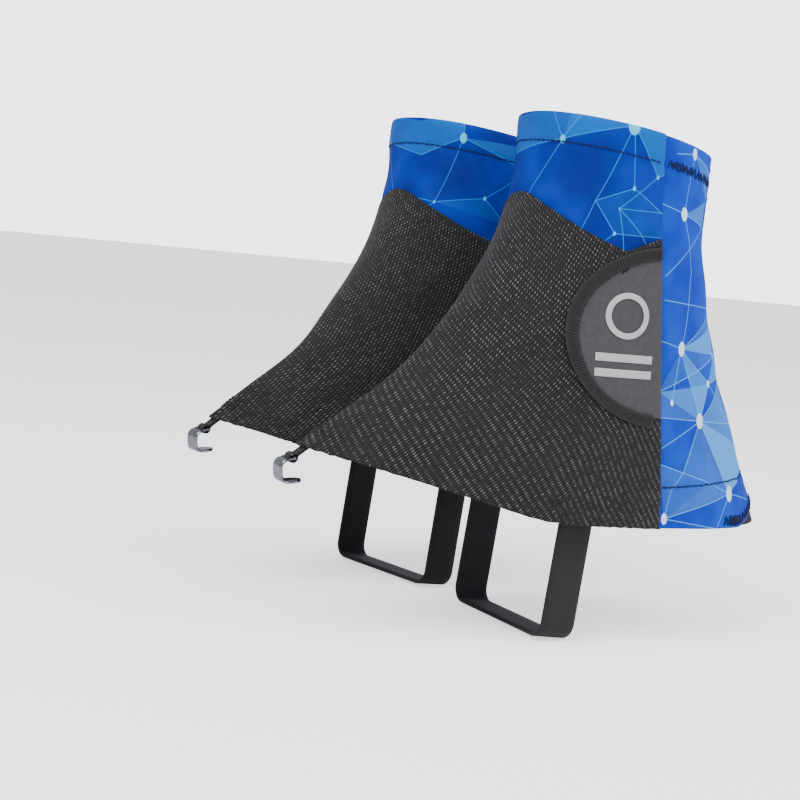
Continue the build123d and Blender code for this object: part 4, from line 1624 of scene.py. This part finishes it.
@dataclass
class BackCloth:
    """The printed stretch back with its two elastics and the loop tape."""

    make: Maker
    look: Finishes
    thickness: float = 0.95
    top_hem: float = 10.0
    dip: float = 0.35
    slack: float = 0.5
    heel_from: float = 42.0
    heel_top: float = 74.0

    def dress(self) -> None:
        """Builds the back's cloth, its elastics, the loop tape and its stitching."""
        form, look = self.make.form, self.look
        panel = Panel((OUTER, straight(FLAP_HINGE, 6.0)), (INNER, straight(INNER_SEAM, -7.5)), arch(), rim(),
                      LAP, 1.2)
        grid = panel.grid(form, zero=straight(FLAP_EDGE))
        grid = grid.moved(self._relief(grid))
        self.make.sheet("back cloth", grid, self.thickness, look.back, ON_SHELL, ("back_panel",),
                        "printed_knit")
        self._stitches(grid)
        self._toe_stitches()
        band = Panel((OUTER, straight(FLAP_EDGE, -9.5)), (INNER, straight(INNER_SEAM, -0.5)), rim(10.0),
                     rim(1.5),
                     UNDER_BACK, BAND_GRID)
        self.make.band("back cuff elastic", band, 0.8, look.elastic, ON_SHELL, "elastic")

        def behind(z: np.ndarray) -> np.ndarray:
            """The elastic's ends, the same at every height."""
            return np.full(np.shape(z), self.heel_from)

        def top(y: np.ndarray) -> np.ndarray:
            """The elastic's upper edge, level all along."""
            return np.full(np.shape(y), self.heel_top)

        heel = Panel((OUTER, behind), (INNER, behind), hem(0.3), top, UNDER_BACK, 1.6).grid(form)
        heel = heel.moved(0.22 * Waves(17, (5.0, 60.0))(heel.cloth[..., 0], heel.cloth[..., 1]))
        self.make.sheet("heel elastic", heel, 0.75, look.elastic, ON_SHELL, ("heel_elastic",), "elastic",
                        "gathered")
        tape = Panel((OUTER, straight(FLAP_EDGE, -35.0)), (OUTER, straight(FLAP_EDGE, -3.0)),
                     hem(TAPE_ABOVE_HEM),
                     rim(TAPE_BELOW_RIM), LAP - 0.6, 1.6)
        self.make.band("loop tape", tape, 0.55, look.loop, ON_SHELL, "loop_tape")

    def _relief(self, grid: Grid) -> np.ndarray:
        """The slack, the dips and puckers along the two casings, and two raised rows by the top one."""
        u, v = grid.cloth[..., 0], grid.cloth[..., 1]
        soft, pucker = Waves(31, (34.0, 40.0)), Waves(3, (8.0, 26.0))
        top, casing = grid.top_gap - self.top_hem, self._casing(grid)
        relief = self.slack * soft(u, v) - self.dip * swell(top, 0.8)
        relief += 0.28 * swell(top, 3.0) * pucker(u, v)
        relief += 0.34 * swell(casing, 4.5) * pucker(u + 40, v) - self.dip * swell(casing, 0.8)
        for row in (4.2, 15.8):
            relief += 0.3 * swell(grid.top_gap - row, 0.45)
        return relief * np.clip((u + 1.0) / 6.0, 0.0, 1.0)

    @staticmethod
    def _casing(grid: Grid) -> np.ndarray:
        """Height above the sewn upper edge of the hem's casing."""
        y, z = grid.points[..., 1], grid.points[..., 2]
        return z - (63.8 + 0.02 * y + 0.0006 * y * y)

    def _stitches(self, grid: Grid) -> None:
        """Adds the back's sewing and the dense stitching at the ends of its hems."""
        body, lock = Body.empty(), Stitching(0.3, 2.4, 0.1)
        first = int(np.argmax((grid.cloth[..., 0] > -6.0).all(0)))
        seen = Grid(*(part[:, first:] for part in (grid.points, grid.cloth, grid.bottom_gap, grid.top_gap)))
        lock.straight(body, *track(seen, self._casing))
        path, normals = track(seen, lambda g: self.top_hem - g.top_gap)
        Stitching(0.24).zigzag(body, path, normals, 4.6, 1.5, 4)
        for share in (0.0, 0.86):
            start = int(share * len(path))
            spot = slice(start, start + int(len(path) * 0.14))
            Stitching(0.22).zigzag(body, path[spot], normals[spot], 3.4, 1.1, 6)
        for side in (OUTER, INNER):
            y = np.linspace(46.0, 74.0, 40)
            z = arch(2.6)(y)
            spots = self.make.form.on_side(y, z, LAP, side)
            ups = np.repeat(unit(np.array([[side * 0.85, 0.5, 0.1]])), 40, 0)
            Stitching(0.28).zigzag(body, spots + ups * 0.15, ups, 4.4, 1.5, 9)
            Stitching(0.28).zigzag(body, spots[6:18] + ups[6:18] * 0.3, ups[6:18], 4.2, 0.8, 5)
        self.make.build("stitching", body, self.look.navy_thread, ON_SHELL, ("bar_tacks",), "navy_thread")

    def _toe_stitches(self) -> None:
        """Adds the dense stitching over the hook's tab."""
        body, count = Body.empty(), 12
        steps = np.linspace(-3.0, 3.0, count)
        ups = np.repeat(unit(np.array([[0.0, -0.62, 0.78]])), count, 0)
        for x in np.linspace(-3.6, 3.6, 5):
            y, z = -122.0 - steps * math.sin(TAB_SLOPE), 78.0 + steps * math.cos(TAB_SLOPE)
            spots = self._onto_instep(np.stack([np.full(count, x), y, z], 1))
            Stitching(0.2).zigzag(body, spots, ups, 1.6, 0.8, 12)
        self.make.build("toe stitching", body, self.look.black_thread, ON_SHELL, (), "overlock_thread")

    def _onto_instep(self, spots: np.ndarray) -> np.ndarray:
        """The points moved onto the form over the instep."""
        form = self.make.form
        level = form.level_at(np.zeros(len(spots)), lambda _: spots[:, 2])
        angle = np.zeros(len(spots))
        for _ in range(12):
            angle += (spots[:, 0] - form.at(angle, level)[:, 0]) * 0.02
        return form.at(angle, level, -0.05)


@dataclass
class SidePatch:
    """The smooth half-round patch on the flap, its overlocked seam and its printed emblem."""

    make: Maker
    look: Finishes
    height: float = 31.5
    reach: float = 36.0
    level: float = 123.4
    threads: int = 96
    ring_middle: tuple[float, float] = (-15.0, 131.0)
    ring_radii: tuple[float, float] = (6.8, 9.0)
    bar_ends: tuple[float, float] = (-27.0, -3.0)
    bar_levels: tuple[float, float] = (114.5, 108.5)
    bar_half: float = 1.5
    film: float = 0.12
    film_depth: float = -0.68

    def _outline(self, turn: np.ndarray, out: float) -> tuple[np.ndarray, np.ndarray]:
        """Side-view places on an oval round the patch.

        Args:
            turn: Angles round the oval.
            out: The distance outside the patch's edge.

        Returns:
            Places along the foot, and heights.
        """
        edge = straight(FLAP_EDGE)
        z = self.level + (self.height + out) * np.sin(turn)
        return edge(self.level) - (self.reach + out) * np.cos(turn), z

    def dress(self) -> None:
        """Builds the patch, its seam and its emblem."""
        form, edge = self.make.form, straight(FLAP_EDGE)
        turn = np.linspace(-1.5, 1.5, 64)[:, None]
        y, z = self._outline(turn, 0.0)
        share = np.linspace(0.0, 1.0, 44)[None, :]
        tips = edge(z)
        y = y * (1 - share) + (tips - 0.25) * share
        z = np.broadcast_to(z, y.shape)
        cloth = Grid.plain(form.on_side(y, z, -0.42), y, z)
        cloth = cloth.moved(0.16 * Waves(44, (26.0, 30.0))(y, z))
        self.make.sheet("side patch", cloth, 0.7, self.look.patch, ACROSS_FOLD, ("side_patch",),
                        "patch_cloth")
        self._seam(form)
        self._emblem(form)
        hook = Panel((OUTER, straight(FLAP_EDGE, -25.0)), (OUTER, straight(FLAP_EDGE, -3.0)),
                     hem(TAPE_ABOVE_HEM),
                     rim(TAPE_BELOW_RIM), SHELL + 0.3, 1.6)
        self.make.band("hook tape", hook, 0.35, self.look.hooks, ACROSS_FOLD, "hook_tape")

    def _seam(self, form: BodyForm) -> None:
        """The raised band and the overlock threads across it."""
        turn = np.linspace(-1.53, 1.53, 110)[:, None]
        out = np.linspace(-0.9, 3.6, 7)[None, :]
        y, z = self._outline(turn, out)
        y = np.minimum(y, straight(FLAP_EDGE)(z) - 0.3)
        arch_up = 0.25 * (1 - ((out - 1.35) / 2.25) ** 2)
        band = Grid.plain(form.on_side(y, z, -0.62), y, z).moved(arch_up * np.ones_like(y))
        body = Body.empty()
        body.add_sheet(band, 0.5)
        rng = random.Random(7)
        for k in range(self.threads):
            at = -1.52 + 3.04 * (k + 0.5) / self.threads
            lean = 0.016 * rng.uniform(0.4, 1.3)
            across = np.linspace(-1.35, 3.95, 9) + rng.uniform(-0.25, 0.25)
            ty, tz = self._outline(at + lean * np.linspace(-1, 1, 9), across)
            keep = ty < straight(FLAP_EDGE)(tz) - 0.2
            if keep.all():
                path = form.on_side(ty, tz, -1.05)
                lift = 0.22 * (1 - np.linspace(-1, 1, 9) ** 4) - 0.25
                ups = unit(np.array([[0.95, -0.3, 0.05]]))
                body.add_thread(path + ups * lift[:, None] * 1.2, 0.34 * rng.uniform(0.85, 1.1))
        self.make.build("patch seam", body, self.look.black_thread, ACROSS_FOLD, ("patch_seam",),
                        "overlock_thread")

    def _emblem(self, form: BodyForm) -> None:
        """A plain ring over two bars, printed on the patch."""
        body = Body.empty()
        turn = np.linspace(0, 2 * math.pi, 73)[:, None]
        size = np.linspace(*self.ring_radii, 5)[None, :]
        shapes = [(self.ring_middle[0] - size * np.cos(turn), self.ring_middle[1] + size * np.sin(turn))]
        for level in self.bar_levels:
            y = np.linspace(*self.bar_ends, 40)[None, :]
            z = np.linspace(level - self.bar_half, level + self.bar_half, 6)[:, None]
            shapes.append(tuple(np.broadcast_arrays(y, z)))
        for y, z in shapes:
            body.add_sheet(Grid.plain(form.on_side(y, z, self.film_depth), y, z), self.film)
        self.make.build("emblem", body, self.look.print, ACROSS_FOLD, ("patch_badge",), "silver_print")


@dataclass
class FootStrap:
    """The strap under the shoe and the two webbing pieces that hold its ends."""

    make: Maker
    look: Finishes
    width: float = 16.0
    thickness: float = 1.6
    lean: float = 5.0
    outer: float = 34.0
    inner: float = 35.6
    corner: float = 7.0
    pivot: float = 50.0
    pivot_y: float = -25.0
    anchor_ends: tuple[float, float] = (-35.0, -15.0)
    anchor_heights: tuple[float, float] = (50.3, 67.0)

    def dress(self) -> None:
        """Builds the strap and its anchors."""
        lean = math.radians(self.lean)
        drop = (self.pivot - self.width / 2 * math.sin(lean)) / math.cos(lean)
        top = drop + self.width / 2 - 0.05
        half, r = self.thickness / 2, self.corner - self.thickness / 2
        left, right = -self.inner + half, self.outer - half
        heights = np.concatenate([top - (1 - np.cos(np.linspace(0, math.pi / 2, 14))) * self.width / 2,
                                  np.linspace(top - self.width / 2 - 1, r + half, 18)])
        quarter = np.linspace(0, math.pi / 2, 10)[1:-1]
        side = [(right, h) for h in heights]
        side += [(right - r + r * math.cos(a), half + r - r * math.sin(a)) for a in quarter]
        side += [(x, half) for x in np.linspace(right - r, left + r, 30)]
        side += [(left + r - r * math.sin(a), half + r - r * math.cos(a)) for a in quarter]
        side += [(left, h) for h in heights[::-1]]
        profile = np.array(side)
        up = profile[:, 1] - drop
        widths = self.width * np.sqrt(np.clip(1 - (np.maximum(up, 0) / (self.width / 2)) ** 2, 0.002, 1))
        path = np.stack([profile[:, 0], self.pivot_y + up * math.sin(lean), self.pivot + up * math.cos(lean)], 1)
        body = Body.empty()
        body.add_ribbon(path, np.array([0.0, math.cos(lean), -math.sin(lean)]), widths, self.thickness)
        strap = self.make.build("foot strap", body, self.look.webbing, Hold("strap"), ("underfoot_strap",),
                                "webbing", 80.0)
        for name, side_sign, depth in (("outer", 1, LAP + SHELL + 0.1), ("inner", -1, SHELL + 0.9)):
            y = np.linspace(*self.anchor_ends, 14)[None, ::side_sign]
            z = np.linspace(*self.anchor_heights, 12)[:, None]
            y, z = np.broadcast_arrays(y, z)
            points = self.make.form.on_side(y, z, depth, side_sign)
            self.make.sheet(f"strap anchor {name}", Grid.plain(points, y, z), 0.75, self.look.webbing,
                            ON_SHELL,
                            (f"strap_anchor_{name}",), "webbing")


@dataclass
class LaceHook:
    """The bent metal hook at the toe and the narrow loop that holds it."""

    make: Maker
    look: Finishes
    y: float = -135.0
    z: float = 66.2
    width: float = 8.0
    thickness: float = 1.2
    bend: float = 3.4

    def _place(self, path: np.ndarray) -> np.ndarray:
        """Side-view points as points of the gaiter's frame."""
        return np.stack([np.zeros(len(path)), self.y + path[:, 0], self.z + path[:, 1]], 1)

    def _rounded(self, corners: Sequence[tuple[float, float]]) -> np.ndarray:
        """The corners joined by straights, each one rounded by the bend's radius.

        Args:
            corners: The corners, from one end to the other.

        Returns:
            Evenly spaced points along the shape.
        """
        points = [np.array(corners[0], float)]
        for a, b, c in zip(corners, corners[1:], corners[2:]):
            a, b, c = (np.array(p, float) for p in (a, b, c))
            into, out = unit(b - a), unit(c - b)
            half = math.acos(float(np.clip(into.dot(out), -1, 1))) / 2
            back = min(self.bend * math.tan(half), 0.48 * min(np.linalg.norm(b - a), np.linalg.norm(c - b)))
            for t in np.linspace(0, 1, 9):
                ends = (1 - t) ** 2 * (b - into * back) + t**2 * (b + out * back)
                points.append(ends + 2 * t * (1 - t) * b)
        points.append(np.array(corners[-1], float))
        path = np.array(points)
        along = lengths(path)
        return resampled(path, np.linspace(0, along[-1], 44), along)

    def dress(self) -> None:
        """Builds the tab and the hook."""
        self._tab()
        path = self._rounded(((0.0, 0.0), (-5.4, -1.4), (-4.6, -9.6), (4.6, -8.6)))
        along = lengths(path)
        left = along[-1] - along
        body = Body.empty()
        keep = along > 3.0
        tip = np.sqrt(np.clip(1 - (np.maximum(4.0 - left, 0) / 4.05) ** 2, 0.01, 1))
        widths = self.width * tip
        side = np.array([1.0, 0.0, 0.0])
        body.add_ribbon(self._place(path[keep]), side, widths[keep], self.thickness)
        for sign in (1, -1):
            arm = self._place(path[~keep | (along < 3.4)])
            arm[:, 0] += sign * (self.width / 2 - 0.55)
            body.add_ribbon(arm, side, np.full(len(arm), 1.1), self.thickness)
        reach = np.linspace(-self.width / 2, self.width / 2, 9)
        bar = np.stack([reach, np.full(9, self.y), np.full(9, self.z)], 1)
        body.add_thread(bar, 0.8, 14)
        self.make.build("lace hook", body, self.look.nickel, Hold("hook"), ("lace_hook",), "hook_metal", 50.0)

    def _tab(self) -> None:
        """The loop of narrow tape, doubled under the hem."""
        forward = np.array([math.cos(TAB_SLOPE), math.sin(TAB_SLOPE)])
        up = np.array([-forward[1], forward[0]])
        turn = np.linspace(0.35, 2 * math.pi - 0.35, 26)
        ring = [1.7 * (math.cos(a) * forward + math.sin(a) * up) for a in turn]
        tail = np.linspace(16.0, 2.6, 8)
        path = [d * forward + 0.42 * up for d in tail] + ring + [d * forward - 0.42 * up for d in tail[::-1]]
        body = Body.empty()
        points = self._place(np.array(path))
        body.add_ribbon(points, np.array([1.0, 0.0, 0.0]), np.full(len(points), 4.8), 0.78)
        tab = self.make.build("hook tab", body, self.look.webbing, ON_SHELL, ("hook_tab",), "webbing", 80.0)


@dataclass
class Gaiter:
    """One gaiter: every sub-assembly in its place."""

    side: Side
    look: Finishes
    form: BodyForm

    def dress(self) -> None:
        """Builds all of this gaiter's pieces."""
        make = Maker(Placement(self.side), self.form)
        for part in (FrontCloth, Cuff, BackCloth, SidePatch, FootStrap, LaceHook):
            log.info("%s gaiter: %s", self.side.value, part.__name__)
            part(make, self.look).dress()


# --------------------------------------------------------------------------- floor, light and camera


@dataclass
class Studio:
    """A pale floor, soft light and the camera."""

    look_at: Vector = Vector((0.0076, -0.0391, 0.0863))
    azimuth: float = 57.25
    elevation: float = 5.0
    distance: float = 0.650
    roll: float = 5.5
    lens: float = 70.0
    floor_size: float = 40.0
    floor_glow: float = 1.1
    room_light: float = 0.75
    backdrop: float = 3.75

    def set_up(self) -> None:
        """Builds the floor, the lights and the camera."""
        self._floor()
        world = bpy.data.worlds.new("Pale room")
        world.use_nodes = True
        background = world.node_tree.nodes["Background"]
        background.inputs["Color"].default_value = (0.93, 0.95, 1.0, 1.0)
        g = Graph(world.node_tree)
        seen = g.node("LightPath").outputs["Is Camera Ray"]
        strength = g.math("MULTIPLY_ADD", seen, self.backdrop - self.room_light, self.room_light)
        g.feed(background.inputs["Strength"], strength)
        bpy.context.scene.world = world
        self._light("Key", 20.0, 52.0, 1.3, 18.0, 0.8)
        self._light("Fill", 95.0, 25.0, 1.5, 7.0, 1.2)
        self._light("Back", 150.0, 40.0, 1.3, 9.0, 0.8)
        self._camera()

    def _toward(self, azimuth: float, elevation: float) -> Vector:
        """The direction of a place, seen from the pair.

        Args:
            azimuth: Degrees round from the toes.
            elevation: Degrees above the floor.

        Returns:
            The unit direction.
        """
        az, el = math.radians(azimuth), math.radians(elevation)
        return Vector((math.sin(az) * math.cos(el), -math.cos(az) * math.cos(el), math.sin(el)))

    def _floor(self) -> None:
        """A plain pale floor."""
        mesh = bpy.data.meshes.new("Floor")
        corners = [(x * self.floor_size, y * self.floor_size, 0) for x,
                   y in ((-1, -1), (1, -1), (1, 1), (-1, 1))]
        mesh.from_pydata(corners, [], [(0, 1, 2, 3)])
        material = bpy.data.materials.new("Pale floor")
        material.use_nodes = True
        g = Graph(material.node_tree)
        shader = material.node_tree.nodes["Principled BSDF"]
        shader.inputs["Roughness"].default_value = 0.8
        mottle = g.noise(g.node("TexCoord").outputs["Object"], 9.0)
        g.feed(shader.inputs["Base Color"], g.mix(mottle, (0.90, 0.90, 0.91), (0.93, 0.93, 0.94)))
        glow = g.math("MULTIPLY", g.node("LightPath").outputs["Is Camera Ray"], self.floor_glow)
        shader.inputs["Emission Color"].default_value = (1.0, 1.0, 1.0, 1.0)
        g.feed(shader.inputs["Emission Strength"], glow)
        mesh.materials.append(material)
        floor = bpy.data.objects.new("Floor", mesh)
        bpy.context.scene.collection.objects.link(floor)
        floor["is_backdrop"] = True

    def _light(self, name: str, azimuth: float, elevation: float, distance: float, power: float,
               size: float) -> None:
        """A large soft light aimed at the pair.

        Args:
            name: Its name.
            azimuth: Degrees round from the toes.
            elevation: Degrees above the floor.
            distance: Metres from the pair.
            power: Its power in watts.
            size: Its width in metres.
        """
        lamp = bpy.data.lights.new(name, "AREA")
        lamp.energy, lamp.size = power, size
        obj = bpy.data.objects.new(name, lamp)
        obj.location = self.look_at + self._toward(azimuth, elevation) * distance
        obj.rotation_euler = (self.look_at - obj.location).to_track_quat("-Z", "Y").to_euler()
        bpy.context.scene.collection.objects.link(obj)

    def _camera(self) -> None:
        """The camera, rolled a little about its own line of sight."""
        data = bpy.data.cameras.new("Camera")
        data.lens, data.sensor_width = self.lens, 36.0
        obj = bpy.data.objects.new("Camera", data)
        back = self._toward(self.azimuth, self.elevation)
        turn = back.to_track_quat("Z", "Y").to_matrix() @ Matrix.Rotation(math.radians(self.roll), 3, "Z")
        obj.matrix_world = Matrix.Translation(self.look_at + back * self.distance) @ turn.to_4x4()
        bpy.context.scene.collection.objects.link(obj)
        bpy.context.scene.camera = obj


def plain(box: object) -> object:
    """A box as plain lists of numbers."""
    if hasattr(box, "__len__") and not isinstance(box, (str, dict)):
        return [plain(x) for x in box]
    return float(box)


def main() -> None:
    """Builds the pair and its studio."""
    logging.basicConfig(level=logging.INFO, format="%(message)s")
    look, form = Finishes(Effects()), BodyForm(LEVELS)
    for side in Side:
        Gaiter(side, look, form).dress()
    Studio().set_up()
    {"cad": plain(CAD_BOX), "visual": plain(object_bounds())}


if __name__ == "__main__":
    main()
